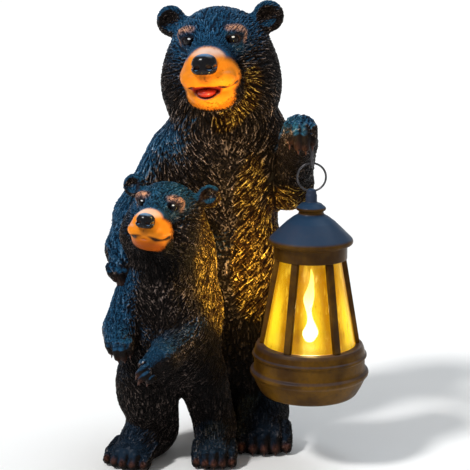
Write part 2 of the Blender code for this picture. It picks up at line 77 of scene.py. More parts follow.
# A limb with at least this weight is a paw, with short fur at its end.
PAW_WEIGHT = 2.6
# Two rounds of locks: their share of the full size, and how high they stand.
COMBINGS = ((1.0, 0.9), (0.85, 1.0))
# The share of a lock's height that lies under the carved surface.
SUNK = 0.40


def figure_shift():
    """Where the figure's own origin lies in the model, in metres, from the hook in the mother's paw."""
    low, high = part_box("paw_hook")
    middle = [(low[k] + high[k]) / 2 for k in (0, 1)]
    return np.array([middle[0] - HOOK_PLACE[0] * UNIT, middle[1] - HOOK_PLACE[1] * UNIT, 0.0])


SHIFT = figure_shift()
SETTLE_ROUNDS = 2


def turned(yaw=0.0, pitch=0.0, roll=0.0):
    """Rotation matrix, in degrees: yaw about Z, then pitch about X and roll about Y in the turned frame."""
    angles = [math.radians(v) for v in (pitch, roll, yaw)]
    return np.array(Euler(angles, "YXZ").to_matrix())


class Clay:
    """Rounded masses that melt into each other. Its field is negative inside the figure."""

    def __init__(self):
        self.masses = []

    def ball(self, centre, radii, turn=None, blend=5.0, carve=False):
        """An ellipsoid."""
        centre, radii = np.array(centre, float), np.array(radii, float)
        turn = np.eye(3) if turn is None else turn

        def distance(points):
            local = (points - centre) @ turn
            near = np.linalg.norm(local / radii, axis=1)
            slope = np.linalg.norm(local / radii**2, axis=1) + 1e-9
            return near * (near - 1.0) / slope

        self.masses.append((distance, centre, radii.max(), blend, carve))

    def limb(self, start, end, start_radius, end_radius, blend=5.0, carve=False):
        """A tapered sausage."""
        start, end = np.array(start, float), np.array(end, float)
        axis = end - start
        length = np.linalg.norm(axis)
        lean = (start_radius - end_radius) / length
        rise = math.sqrt(max(1.0 - lean * lean, 1e-6))

        def distance(points):
            offset = points - start
            along = offset @ (axis / length)
            off = np.linalg.norm(offset - np.outer(along, axis / length), axis=1)
            share = np.clip((along - off * lean / rise) / length, 0.0, 1.0)
            centre_gap = np.hypot(off, along - share * length)
            return centre_gap - (start_radius + share * (end_radius - start_radius))

        reach = length / 2 + max(start_radius, end_radius)
        self.masses.append((distance, (start + end) / 2, reach, blend, carve))

    def field(self, points):
        """Signed distance of each point to the blended surface, up to FAR."""
        keys = np.floor(points / BLOCK).astype(int) @ BLOCK_KEY
        order = np.argsort(keys, kind="stable")
        total = np.empty(len(points))
        for rows in np.split(order, np.flatnonzero(np.diff(keys[order])) + 1):
            if len(rows):
                total[rows] = self.block_field(points[rows])
        return total

    def block_field(self, points):
        """The field at points that lie close together, from the masses round them only."""
        middle = (points.min(axis=0) + points.max(axis=0)) / 2
        spread = np.linalg.norm(points - middle, axis=1).max()
        total = np.full(len(points), FAR)
        for distance, centre, reach, blend, carve in self.masses:
            if np.linalg.norm(centre - middle) > reach + spread + (blend if carve else total.max() + blend):
                continue
            gap = np.linalg.norm(points - centre, axis=1) - reach
            near = gap < (blend if carve else total + blend)
            if not near.any():
                continue
            mass = distance(points[near])
            old = total[near]
            if carve:
                total[near] = -melted(-old, mass, blend)
            else:
                total[near] = melted(old, mass, blend)
        return total


def melted(first, second, blend):
    """The smaller of two distances, rounded where they are within the blend of each other."""
    overlap = np.maximum(blend - np.abs(first - second), 0.0) / blend
    return np.minimum(first, second) - overlap * overlap * blend / 4.0


def parity(order):
    """1 for an even permutation of 0, 1, 2 ..., and -1 for an odd one."""
    swaps = sum(a > b for k, a in enumerate(order) for b in order[k + 1 :])
    return -1 if swaps % 2 else 1


def skin(field, low, high, step):
    """Closed triangle skin of a field's zero surface, by marching through tetrahedra on a grid."""
    axes = [np.arange(low[k], high[k] + step, step) for k in range(3)]
    shape = tuple(len(axis) for axis in axes)
    grid = np.stack(np.meshgrid(*axes, indexing="ij"), axis=-1).reshape(-1, 3)
    values = field(grid)
    values[np.abs(values) < 1e-6] = 1e-6
    strides = np.array([shape[1] * shape[2], shape[2], 1])
    cells = np.arange(len(grid)).reshape(shape)[:-1, :-1, :-1].ravel()
    count = sum((values[cells + np.dot(c, strides)] < 0).astype(int) for c in product((0, 1), repeat=3))
    cells = cells[(count > 0) & (count < 8)]
    found = []
    for order in permutations(range(3)):
        steps = np.cumsum([np.zeros(3, int)] + [np.eye(3, dtype=int)[k] for k in order], axis=0)
        corners = cells[:, None] + steps @ strides
        code = (values[corners] < 0) @ np.array([1, 2, 4, 8])
        for case in range(1, 15):
            rows = corners[code == case]
            within = [k for k in range(4) if case >> k & 1]
            without = [k for k in range(4) if not case >> k & 1]
            cut = [sorted((a, b)) for a in within for b in without]
            fans = [(0, 1, 2)] if len(cut) == 3 else [(0, 1, 3), (0, 3, 2)]
            for fan in fans:
                if parity(order) * parity(within + without) < 0:
                    fan = fan[::-1]
                found.append(np.stack([rows[:, cut[k]] for k in fan], axis=1))
    edges = np.concatenate(found)
    keys, index = np.unique(edges[..., 0] * len(grid) + edges[..., 1], return_inverse=True)
    start, end = keys // len(grid), keys % len(grid)
    share = np.clip(values[start] / (values[start] - values[end]), 0.03, 0.97)[:, None]
    return grid[start] * (1 - share) + grid[end] * share, index.reshape(-1, 3)


def largest_piece(points, triangles):
    """The skin without the small pieces that lie apart from its largest one."""
    label = np.arange(len(points))
    while True:
        lowest = label[triangles].min(axis=1)
        joined = label.copy()
        np.minimum.at(joined, triangles.ravel(), np.repeat(lowest, 3))
        joined = joined[joined]
        if (joined == label).all():
            break
        label = joined
    kept = label == np.bincount(label).argmax()
    place = np.cumsum(kept) - 1
    return points[kept], place[triangles[kept[triangles[:, 0]]]]


def settled(field, points, rounds, reach=0.4):
    """Points moved along the field's slope onto its zero surface."""
    for _ in range(rounds):
        here = field(points)
        ahead = np.stack([field(points + reach * axis) for axis in np.eye(3)], axis=1)
        behind = np.stack([field(points - reach * axis) for axis in np.eye(3)], axis=1)
        slope = (ahead - behind) / (2 * reach)
        size = np.maximum((slope**2).sum(axis=1), 0.25)
        points = points - slope * (np.clip(here, -2.0, 2.0) / size)[:, None]
    return points


class Bear:
    """Places the masses of one bear's head in its own frame, scaled from the mother's."""

    def __init__(self, clay, centre, turn, size):
        self.clay, self.centre, self.turn, self.size = clay, np.array(centre, float), turn, size

    def at(self, point):
        """The figure's place of a point in the frame of the head."""
        return self.centre + self.turn @ (np.array(point, float) * self.size)

    def eye(self, side):
        """The middle of an eye."""
        return self.at((side * 15.4, -32.2, 16.2))

    def ball(self, centre, radii, turn=None, blend=5.0, carve=False):
        turn = self.turn if turn is None else self.turn @ turn
        self.clay.ball(self.at(centre), np.array(radii) * self.size, turn, blend * self.size, carve)

    def limb(self, start, end, start_radius, end_radius, blend=5.0, carve=False):
        radii = start_radius * self.size, end_radius * self.size
        self.clay.limb(self.at(start), self.at(end), *radii, blend * self.size, carve)

    def head(self, jaw_drop, broad=1.0, ears=35.5):
        """Skull, cheeks, jaw, muzzle, ears and eyelids. X is the bear's left, and -Y the way it looks."""
        # Skull, brow and lower jaw
        self.ball((0, 4, 2), (38 * broad, 36, 36), blend=10)
        self.limb((0, -16, 16), (0, -38, 6), 20 * broad, 14, blend=12)
        self.ball((0, -42.0, -18.0 - jaw_drop), (15.0, 18.5, 9.2), blend=7)
        for side in (-1, 1):
            self.ball((side * 22.5 * broad, -4, -16), (19 * broad, 24, 24), blend=14)
            self.limb((side * 11, -26, -20 - jaw_drop), (side * 22, -12, -16), 11, 14, blend=9)
            self.limb((side * 14.2, -43, -8), (side * 10.0, -40, -16.5 - jaw_drop * 0.8), 7.4, 7.0, blend=7)
        # Hollow of the mouth, in two steps
        upper, lower = -14.8 - jaw_drop * 0.42, -14.8 - jaw_drop * 0.85
        self.ball((-1.2, -59, upper), (11.2, 12.0, 0.9 + jaw_drop * 0.85), blend=1.5, carve=True)
        self.ball((-1.2, -59, lower), (7.2, 12.0, 0.9 + jaw_drop * 1.02), blend=1.5, carve=True)
        # Muzzle
        self.ball((0, -45, -2), (17.5, 20, 13.6), blend=4)
        self.ball((0, -52, -8.5), (8, 13.5, 6.2), blend=3)
        for side in (-1, 1):
            self.ball((side * 8.3, -52.2, -9.2), (10.8, 12.6, 7.6), blend=3)
            self.ball((side * 15, -28, 20.5), (9, 7.5, 5.5), blend=8)
            # Ear
            lean = turned(yaw=side * 14)
            self.limb((side * (ears - 15), 6, 20), (side * (ears - 4), 6, 27), 8, 6.5, blend=5)
            self.ball((side * ears, 5, 29.5), (11.2, 6, 11.2), lean, blend=4)
            self.ball((side * (ears + 0.5), -1.5, 29.5), (7, 5, 7.2), lean, blend=2.5, carve=True)
            # Socket and lids of the eye
            self.ball((side * 15.2, -36, 16), (5.2, 3.8, 3.8), blend=3, carve=True)
            self.limb((side * 10.6, -35.0, 16.4), (side * 15.8, -36.2, 20.2), 1.0, 1.3, blend=1.6)
            self.limb((side * 15.8, -36.2, 20.2), (side * 20.6, -31.8, 17.2), 1.3, 1.0, blend=1.6)
            self.limb((side * 10.8, -35.2, 14.6), (side * 15.6, -35.6, 12.2), 0.8, 1.0, blend=1.4)
            self.limb((side * 15.6, -35.6, 12.2), (side * 20.2, -31.8, 14.6), 1.0, 0.8, blend=1.4)
            # Grooves of the lips
            self.limb((0, -66, -15.2), (side * 9.5, -62, -16.2), 0.7, 1.0, 1.0, True)
            self.limb((side * 9.5, -62, -16.2), (side * 18.5, -46, -12.0), 1.2, 0.8, 1.0, True)
        self.ball((0, -64.5, 1), (8.4, 6.2, 6.6), blend=2.0)


def paw(clay, wrist, knuckles, tips, spread, palm, toe, raised, count=4):
    """A paw from wrist to knuckles, with toes side by side along spread that bend down to their tips."""
    places = wrist, knuckles, tips, spread, raised
    wrist, knuckles, tips, spread, raised = (np.array(place, float) for place in places)
    clay.limb(wrist, knuckles, palm[0], palm[1], blend=4)
    claws = []
    for k in range(count):
        shift = spread * (k - (count - 1) / 2)
        off = (k - (count - 1) / 2) / ((count - 1) / 2)
        tip = tips + shift * 0.88 - (tips - knuckles) * 0.38 * off * off
        root = knuckles + shift * 0.9 + raised * (1.0 - 0.12 * off * off)
        middle = (root + tip) / 2 + raised * 0.15
        clay.limb(root, middle, toe * 0.96, toe * 0.94, blend=0.9)
        clay.limb(middle, tip, toe * 0.94, toe * 0.78, blend=0.5)
        claws.append((tip, tip - middle))
    return claws


def foot(clay, heel, toes, width, height, toe, count=5):
    """A foot from heel to toes, with toes side by side that bend down to the ground."""
    heel, toes = np.array(heel, float), np.array(toes, float)
    ahead = toes - heel
    ahead[2] = 0
    length = np.linalg.norm(ahead)
    ahead /= length
    across = np.array([-ahead[1], ahead[0], 0])
    turn = turned(yaw=math.degrees(math.atan2(ahead[0], -ahead[1])))
    pad = toes - ahead * toe * 2.8
    instep = heel + (pad - heel) * 0.42
    clay.ball(instep + [0, 0, height * 0.10], (width * 0.45, length * 0.50, height * 0.60), turn, blend=8)
    clay.ball(pad - [0, 0, height * 0.04], (width * 0.45, toe * 2.0, height * 0.36), turn, blend=6)
    claws = []
    for k in range(count):
        off = (k - (count - 1) / 2) / ((count - 1) / 2)
        root = pad + across * off * (width * 0.40) - ahead * (toe * 1.2 + off * off * toe * 0.8)
        root[2] = height * (0.58 - 0.08 * off * off)
        bend = root + ahead * toe * 2.4
        bend[2] = height * (0.40 - 0.06 * off * off)
        tip = bend + ahead * toe * 0.75
        tip[2] = toe * 0.95
        clay.limb(root, bend, toe * 0.84, toe * 0.90, blend=0.8)
        clay.limb(bend, tip, toe * 0.90, toe * 0.82, blend=0.5)
        claws.append((tip + ahead * toe * 0.50 + [0, 0, toe * 0.35], ahead * 0.35 - [0, 0, 1.0]))
    return claws


def mother(clay):
    """The mother's body, standing, her right arm round the cub and her left paw up for the lantern."""
    claws = []
    clay.ball((-2, 6, 84), (38, 33, 44), blend=12)
    clay.ball((-5, 2, 132), (42, 36, 56), blend=14)
    clay.ball((-9, 2, 196), (42, 34, 48), blend=14)
    clay.ball((-8, 16, 190), (37, 28, 56), blend=14)
    clay.limb((-9, 2, 214), (-8, 1, 254), 39, 37.5, blend=14)
    clay.ball((0, 38, 76), (7, 7, 8), blend=6)
    # Right arm, round the cub
    clay.limb((-42, 6, 210), (-71, 4, 166), 23, 17.5, blend=12)
    clay.limb((-71, 4, 166), (-79, -34, 150), 17.5, 13, blend=8)
    wrist, knuckles, tips = (-79, -34, 150), (-78, -45, 141), (-76, -58, 130)
    claws += paw(clay, wrist, knuckles, tips, (4.6, 3.6, 0.5), (13, 11), 3.9, (-3, -7, 1))
    # Left arm, up for the lantern
    clay.limb((16, 5, 222), (40, -6, 192), 24, 16, blend=12)
    clay.limb((40, -6, 190), (44, -38, 223), 15.5, 13, blend=7)
    wrist, knuckles, tips = (44, -40, 228), (44.5, -52, 235.5), (45.5, -64, 225.5)
    claws += paw(clay, wrist, knuckles, tips, (5.9, 0.4, -0.4), (13.5, 12.0), 3.6, (0, -9, 4.5))
    # Legs
    clay.ball((16, 4, 60), (26, 28, 44), blend=12)
    clay.limb((19, 4, 50), (21, 0, 18), 21, 19, blend=8)
    claws += foot(clay, (21, 4, 15), (21, -56, 9), 41, 33, 4.8)
    clay.ball((-14, 6, 60), (24, 27, 44), blend=12)
    clay.limb((-14, 8, 50), (-13, 8, 18), 20, 16, blend=8)
    claws += foot(clay, (-13, 12, 14), (-13, -20, 9), 34, 30, 4.2)
    return claws


def mother_top(clay):
    """The mother's head and neck."""
    clay.limb((-9, 2, 226), (-8, 1, 256), 36.5, 37, blend=14)
    mother_head(clay).head(jaw_drop=MOTHER_JAW)


def cub(clay):
    """The cub, standing in front of its mother and looking a little to its right."""
    claws = []
    clay.ball((-50, -50, 112), (30, 26, 40), blend=7)
    clay.ball((-45, -52, 82), (35, 29, 31), blend=10)
    clay.limb((-49, -50, 132), (-48, -52, 164), 24, 23.5, blend=9)
    clay.ball((-32, -42, 140), (19, 18, 40), blend=8)
    clay.ball((-28, -44, 106), (20, 20, 28), blend=8)
    cub_head(clay).head(jaw_drop=CUB_JAW, broad=0.94, ears=38.5)
    # Arms
    clay.limb((-72, -54, 120), (-79, -64, 98), 13, 13, blend=5)
    wrist, knuckles, tips = (-79, -66, 100), (-79, -75, 93), (-78, -86, 84)
    claws += paw(clay, wrist, knuckles, tips, (4.9, -1.0, 0), (12, 11), 3.3, (0, -8.5, 1))
    clay.limb((-37, -54, 126), (-29, -62, 98), 14, 13, blend=6)
    clay.limb((-29, -64, 96), (-49, -87, 84), 12.5, 11, blend=4)
    wrist, knuckles, tips = (-48, -86, 84), (-55, -89, 79), (-65, -96, 74)
    claws += paw(clay, wrist, knuckles, tips, (1.9, -1.6, -3.9), (10.5, 9.6), 2.9, (-3, -6.5, 0.5))
    # Legs
    clay.ball((-64, -52, 56), (21, 26, 30), blend=7)
    clay.limb((-61, -50, 46), (-58, -42, 20), 20, 17, blend=7)
    claws += foot(clay, (-58, -38, 13), (-80, -82, 8), 37, 26, 4.6)
    clay.limb((-24, -50, 62), (-15, -44, 24), 18, 15, blend=7)
    claws += foot(clay, (-14, -38, 13), (-15, -82, 8), 31, 27, 4.2)
    return claws


def figure_field(clay):
    """The figure, cut off flat at the soles."""

    def field(points):
        return np.maximum(clay.field(points), -points[:, 2])

    return field


def unit_row(vector):
    """A direction with the length 1."""
    return np.array(vector, float) / max(np.linalg.norm(vector), 1e-9)


# The fur


def eased(share):
    """A share kept from 0 to 1, with a soft start and end."""
    share = np.clip(share, 0.0, 1.0)
    return share * share * (3.0 - 2.0 * share)


def soft_ball(points, centre, radii, edge=0.15):
    """1 well inside an ellipsoid, 0 outside, and a soft change between."""
    near = np.linalg.norm((points - np.array(centre, float)) / np.array(radii, float), axis=1)
    return eased((1.0 + edge - near) / (2.0 * edge))


def soft_line(points, start, end, reach, edge=0.35):
    """The same round a straight line."""
    start, end = np.array(start, float), np.array(end, float)
    axis = end - start
    share = np.clip((points - start) @ axis / (axis @ axis), 0.0, 1.0)
    gap = np.linalg.norm(points - start - np.outer(share, axis), axis=1)
    return eased((1.0 + edge - gap / reach) / (2.0 * edge))


class Coat:
    """The fur on one bear: which way it lies, how long it is, where it is tan or brown, and where it gets
    painted golden lamplight, painted shade or painted blue skylight.
    """

    def __init__(self, head, jaw_drop, limbs, chest, length, seed, gold, dim, plain, nail):
        self.head, self.jaw_drop, self.limbs = head, jaw_drop, limbs
        self.chest, self.length, self.seed = chest, length, seed
        self.gold, self.dim, self.plain, self.nail, self.claws = gold, dim, plain, nail, []

    def face_places(self, points):
        """Points of the figure in the frame of the mother's head, before its turn and size."""
        return (points - self.head.centre) @ self.head.turn / self.head.size

    def lie(self, points, normals):
        """Unit direction in which the fur lies at each point."""
        flow = np.tile([0.0, 0.0, -0.5], (len(points), 1))
        middle, low, high = self.chest
        front = np.clip(-normals[:, 1] * 1.5, 0.0, 1.0) * ((points[:, 2] > low) & (points[:, 2] < high))
        flow[:, 0] += front * np.clip((middle - points[:, 0]) / 24.0, -0.6, 0.6)
        for start, end, reach, weight in self.limbs:
            start, end = np.array(start, float), np.array(end, float)
            axis = (end - start) / np.linalg.norm(end - start)
            share = np.clip((points - start) @ axis, 0.0, np.linalg.norm(end - start))
            gap = np.linalg.norm(points - start - np.outer(share, axis), axis=1)
            flow += np.outer(weight * np.exp(-np.maximum(gap - reach, 0.0) / (0.2 * reach)), axis)
        place = self.face_places(points)
        away = place - np.array([0.0, -60.0, -6.0])
        away /= np.maximum(np.linalg.norm(away, axis=1), 1e-6)[:, None]
        weight = soft_ball(place, (0, -12, 4), (52, 52, 50), 0.2) * 3.0
        flow += weight[:, None] * (away @ self.head.turn.T)
        flow -= (flow * normals).sum(axis=1)[:, None] * normals
        return flow / np.maximum(np.linalg.norm(flow, axis=1), 1e-6)[:, None]

    def marks(self, points):
        """Shares of tan, of the patches over the eyes, of dark paint and painted shade, of shortness and of
        the open mouth.
        """
        place, drop = self.face_places(points), self.jaw_drop
        # Widths of the patch over an eye, of the lips' line and of the cleft below the nose
        wide, lip, cleft = (2.7, 1.9, 1.4) if drop > OPEN_FROM else (4.2, 3.0, 3.0)
        tan = [
            soft_ball(place, (0, -52, -8), (21.5, 30, 15), 0.3),
            soft_ball(place, (0, -52, -18 - drop), (17.5, 25, 12), 0.25),
            soft_ball(place, (0, -57, 3.0), (13, 20, 9.5), 0.3),
        ]
        dark = [
            # Dark paint on the lips, nose and eye rims, and painted shade under the nose and in the ear
            # hollows
            soft_line(place, (0, -67, -4), (0, -66, -15), 1.5, 0.6),
            soft_ball(place, (0, -64, 0.4), (8.8, 8.5, 7.0), 0.15),
            0.5 * soft_ball(place, (0, -66, -8.5), (4.8, 6.0, 6.0), 0.5),
        ]
        brow, ears = [], []
        for side in (-1, 1):
            brow.append(soft_line(place, (side * 13.5, -37, 25.0), (side * 22, -31, 23), wide, 0.7))
            outer = soft_line(place, (side * 23.2, -29, 20), (side * 24, -28, 14), wide * 0.75, 0.8)
            brow.append(0.8 * outer)
            dark.append(soft_ball(place, (side * 15.4, -33, 16.2), (6.4, 6.6, 4.5), 0.35))
            dark.append(soft_ball(place, (side * 36.5, -4, 29.5), (7.4, 5.5, 7.6), 0.25))
            dark.append(soft_line(place, (side * 9, -62, -15.8), (side * 18, -46, -11.8), lip))
            dark.append(soft_line(place, (side * 9, -62, -16), (0, -66, -15), cleft))
            ears.append(soft_ball(place, (side * 37, 4, 30), (15, 12, 15), 0.2))
        tan, brow, dark, ears = (np.maximum.reduce(shares) for shares in (tan, brow, dark, ears))
        muzzle = soft_ball(place, (0, -50, -8), (24, 30, 24), 0.25)
        head = soft_ball(place, (0, -4, 4), (52, 50, 48), 0.2)
        short = np.maximum.reduce([0.18 * head, 0.95 * muzzle, 0.45 * ears, 0.9 * dark])
        for _, end, reach, weight in self.limbs:
            if weight >= PAW_WEIGHT:
                short = np.maximum(short, 0.88 * soft_ball(points, end, [reach * 1.2] * 3, 0.4))
        mouth = np.maximum(
            soft_ball(place, (-1.2, -57, -14.8 - drop * 0.42), (11.2, 13.0, 0.9 + drop * 0.88), 0.13),
            soft_ball(place, (-1.2, -57, -14.8 - drop * 0.85), (7.2, 13.0, 0.9 + drop * 1.05), 0.13),
        )
        mouth *= (place[:, 2] < -14.4) & (drop > OPEN_FROM)
        return {"tan": tan, "brow": brow, "dark": dark, "short": short, "mouth": mouth}

    def washes(self, points, normals):
        """Shares of painted golden lamplight, painted shade, brown at the toes and painted blue skylight on
        the face at each point.
        """
        place = self.face_places(points)
        gold, dim, nail = np.zeros((3, len(points)))
        # Painted golden lamplight in the places given, on the sides that face the lantern
        for centre, radii, strength in self.gold:
            gold = np.maximum(gold, strength * soft_ball(points, centre, radii, 0.3))
        gold *= np.clip((normals @ unit_row((0.62, -0.62, -0.46)) - 0.10) / 0.40, 0.0, 1.0)
        # Painted golden lamplight on the cheek and beard of a bear with an open mouth, and painted shade
        # under a closed jaw
        if self.jaw_drop > OPEN_FROM:
            gold = np.maximum(gold, soft_line(place, (27, -26, -11), (24, -28, -24), 7.5, 0.45))
            gold = np.maximum(gold, soft_line(place, (22, -28, -28), (5, -33, -42), 8.0, 0.45))
        else:
            dim = soft_ball(place, (0, -46, -24), (19, 24, 9.5), 0.3)
        # Painted shade in the places given, and more of it towards the bottom
        for centre, radii, strength in self.dim:
            dim = np.maximum(dim, strength * soft_ball(points, centre, radii, 0.4))
        dim = np.maximum(dim, 0.55 * np.clip((100.0 - points[:, 2]) / 26.0, 0.0, 1.0))
        for tip, _ in self.claws:
            nail = np.maximum(nail, soft_ball(points, tip, [self.nail] * 3, 0.45))
        # Painted blue skylight on the middle of the face, taken off the sides of the cheeks and the places
        # given
        painted_skylight = 0.9 * soft_ball(place, (0, -24, 16), (30, 28, 17), 0.5)
        for side in (-1, 1):
            painted_skylight -= 0.9 * soft_ball(place, (side * 36, -6, -15), (23, 34, 29), 0.6)
        for centre, radii, strength in self.plain:
            painted_skylight -= strength * soft_ball(points, centre, radii, 0.35)
        return {"gold": gold, "dim": dim, "nail": nail, "painted_skylight": painted_skylight}


def leaf(along):
    """Half width of a lock from its root, 0, to its pointed tip, 1."""
    return np.minimum(1.0, 3.5 * along) ** 0.6 * (1.0 - along**2.4)


def rows_of(mesh, kind):
    """The places or the normals of a mesh's points, a row each."""
    values = np.empty(len(mesh.vertices) * 3)
    mesh.vertices.foreach_get(kind, values)
    return values.reshape(-1, 3)


def figure_points(mesh):
    """A mesh's points in the figure's units."""
    return (rows_of(mesh, "co") - SHIFT) / UNIT


def move_points(mesh, points):
    """Puts a mesh's points at places in the figure's units, none of them below the soles."""
    points[:, 2] = np.maximum(points[:, 2], 0.0)
    mesh.vertices.foreach_set("co", (points * UNIT + SHIFT).ravel())
    mesh.update()


def combed(piece, coat, look):
    """Raises pointed locks of fur on a figure's skin, and keeps what its paint needs as attributes."""
    mesh = piece.data
    count = len(mesh.vertices)
    points, normals = figure_points(mesh), rows_of(mesh, "normal")
    flow = coat.lie(points, normals)
    marks, washes = coat.marks(points), coat.washes(points, normals)
    short = marks["short"]
    sole = np.clip((2.2 - points[:, 2]) / 2.0, 0.0, 1.0)
    tree = KDTree(count)
    for k, point in enumerate(points):
        tree.insert(point, k)
    tree.balance()
    chance = np.random.default_rng(coat.seed)
    top, across, tones = np.zeros((3, count))
    for share, lift in COMBINGS:
        spacing = coat.length * 0.42 * share * (1.0 - 0.45 * (short > 0.3))
        cells = np.floor(points / spacing[:, None] + chance.random(3)).astype(int)
        order = chance.permutation(count)
        _, first = np.unique(cells[order] @ CELL_KEY, return_index=True)
        for root in order[first]:
            size = (1.0 - short[root]) * share
            reach = coat.length * size * chance.uniform(0.8, 1.3)
            wide = coat.length * look.lock_width * size * chance.uniform(0.8, 1.25)
            normal = normals[root]
            side = np.cross(normal, flow[root])
            tilt = chance.normal(0.0, 0.14)
            ahead = flow[root] * math.cos(tilt) + side * math.sin(tilt)
            side = np.cross(normal, ahead)
            curl, tone = chance.normal(0.0, 0.06), chance.random()
            strong = lift * chance.uniform(0.7, 1.1)
            found = tree.find_range(points[root] + ahead * reach * 0.5, reach * 0.56)
            near = np.array([k for _, k, _ in found], dtype=int)
            if not len(near):
                continue
            offset = points[near] - points[root]
            along = offset @ ahead / reach
            off = offset @ side - curl * reach * np.sin(np.clip(along, 0, 1) * math.pi)
            half = wide / 2 * leaf(np.clip(along, 0.0, 1.0))
            ratio = np.abs(off) / np.maximum(half, 1e-6)
            inside = (along > 0) & (along < 1) & (ratio < 1) & (normals[near] @ normal > 0.3)
            rise = strong * (0.50 + 0.50 * along) * np.maximum(1.0 - ratio**2, 0.0)
            rows = near[inside]
            top[rows], across[rows], tones[rows] = rise[inside], off[inside], tone
    height = coat.length * look.lock_height
    move_points(mesh, points + normals * ((top - SUNK) * height * (1 - short) * (1 - sole))[:, None])
    locks = {"lock": top, "across": across / coat.length, "tone": tones}
    for label, values in {**locks, **marks, **washes}.items():
        attribute = mesh.attributes.new(label, "FLOAT", "POINT")
        attribute.data.foreach_set("value", values.astype(np.float32))
    mesh.update()


def skin_piece(name, points, triangles):
    """A new object from points in the figure's units and their triangles."""
    mesh = bpy.data.meshes.new(name)
    mesh.from_pydata((points * UNIT + SHIFT).tolist(), [], triangles.tolist())
    piece = bpy.data.objects.new(name, mesh)
    bpy.context.collection.objects.link(piece)
    return piece


def start_piece():
    """Leaves nothing selected."""
    bpy.ops.object.select_all(action="DESELECT")


def chosen(piece):
    """Selects one piece alone and makes it the active one."""
    start_piece()
    piece.select_set(True)
    bpy.context.view_layer.objects.active = piece


def changed(piece, kind, **settings):
    """Applies one modifier to a piece."""
    chosen(piece)
    change = piece.modifiers.new(kind.title(), kind)
    for name, value in settings.items():
        setattr(change, name, value)
    bpy.ops.object.modifier_apply(modifier=change.name)


def clay_skin(name, clay, low, high, step, cell):
    """A closed object of small even faces on the surface of a clay figure."""
    field = figure_field(clay)
    piece = skin_piece(name, *largest_piece(*skin(field, np.array(low, float), np.array(high, float), step)))
    changed(piece, "REMESH", mode="VOXEL", voxel_size=cell)
    move_points(piece.data, settled(field, figure_points(piece.data), SETTLE_ROUNDS))
    return piece


def thinned(piece, most):
    """Takes out the faces that the fur needs least, down to a number of triangles."""
    count = sum(len(face.vertices) - 2 for face in piece.data.polygons)
    if count > most:
        changed(piece, "DECIMATE", ratio=most / count)


# Paints that only tint another one; the toe shadow and the muzzle's shade are painted shade
TOE_SHADOW = (0.016, 0.006, 0.004)
MUZZLE_CLOUD = (0.50, 0.130, 0.008)
MUZZLE_PAINTED_SHADE = (0.36, 0.075, 0.006)
MUZZLE_DEEP = (0.16, 0.055, 0.02)


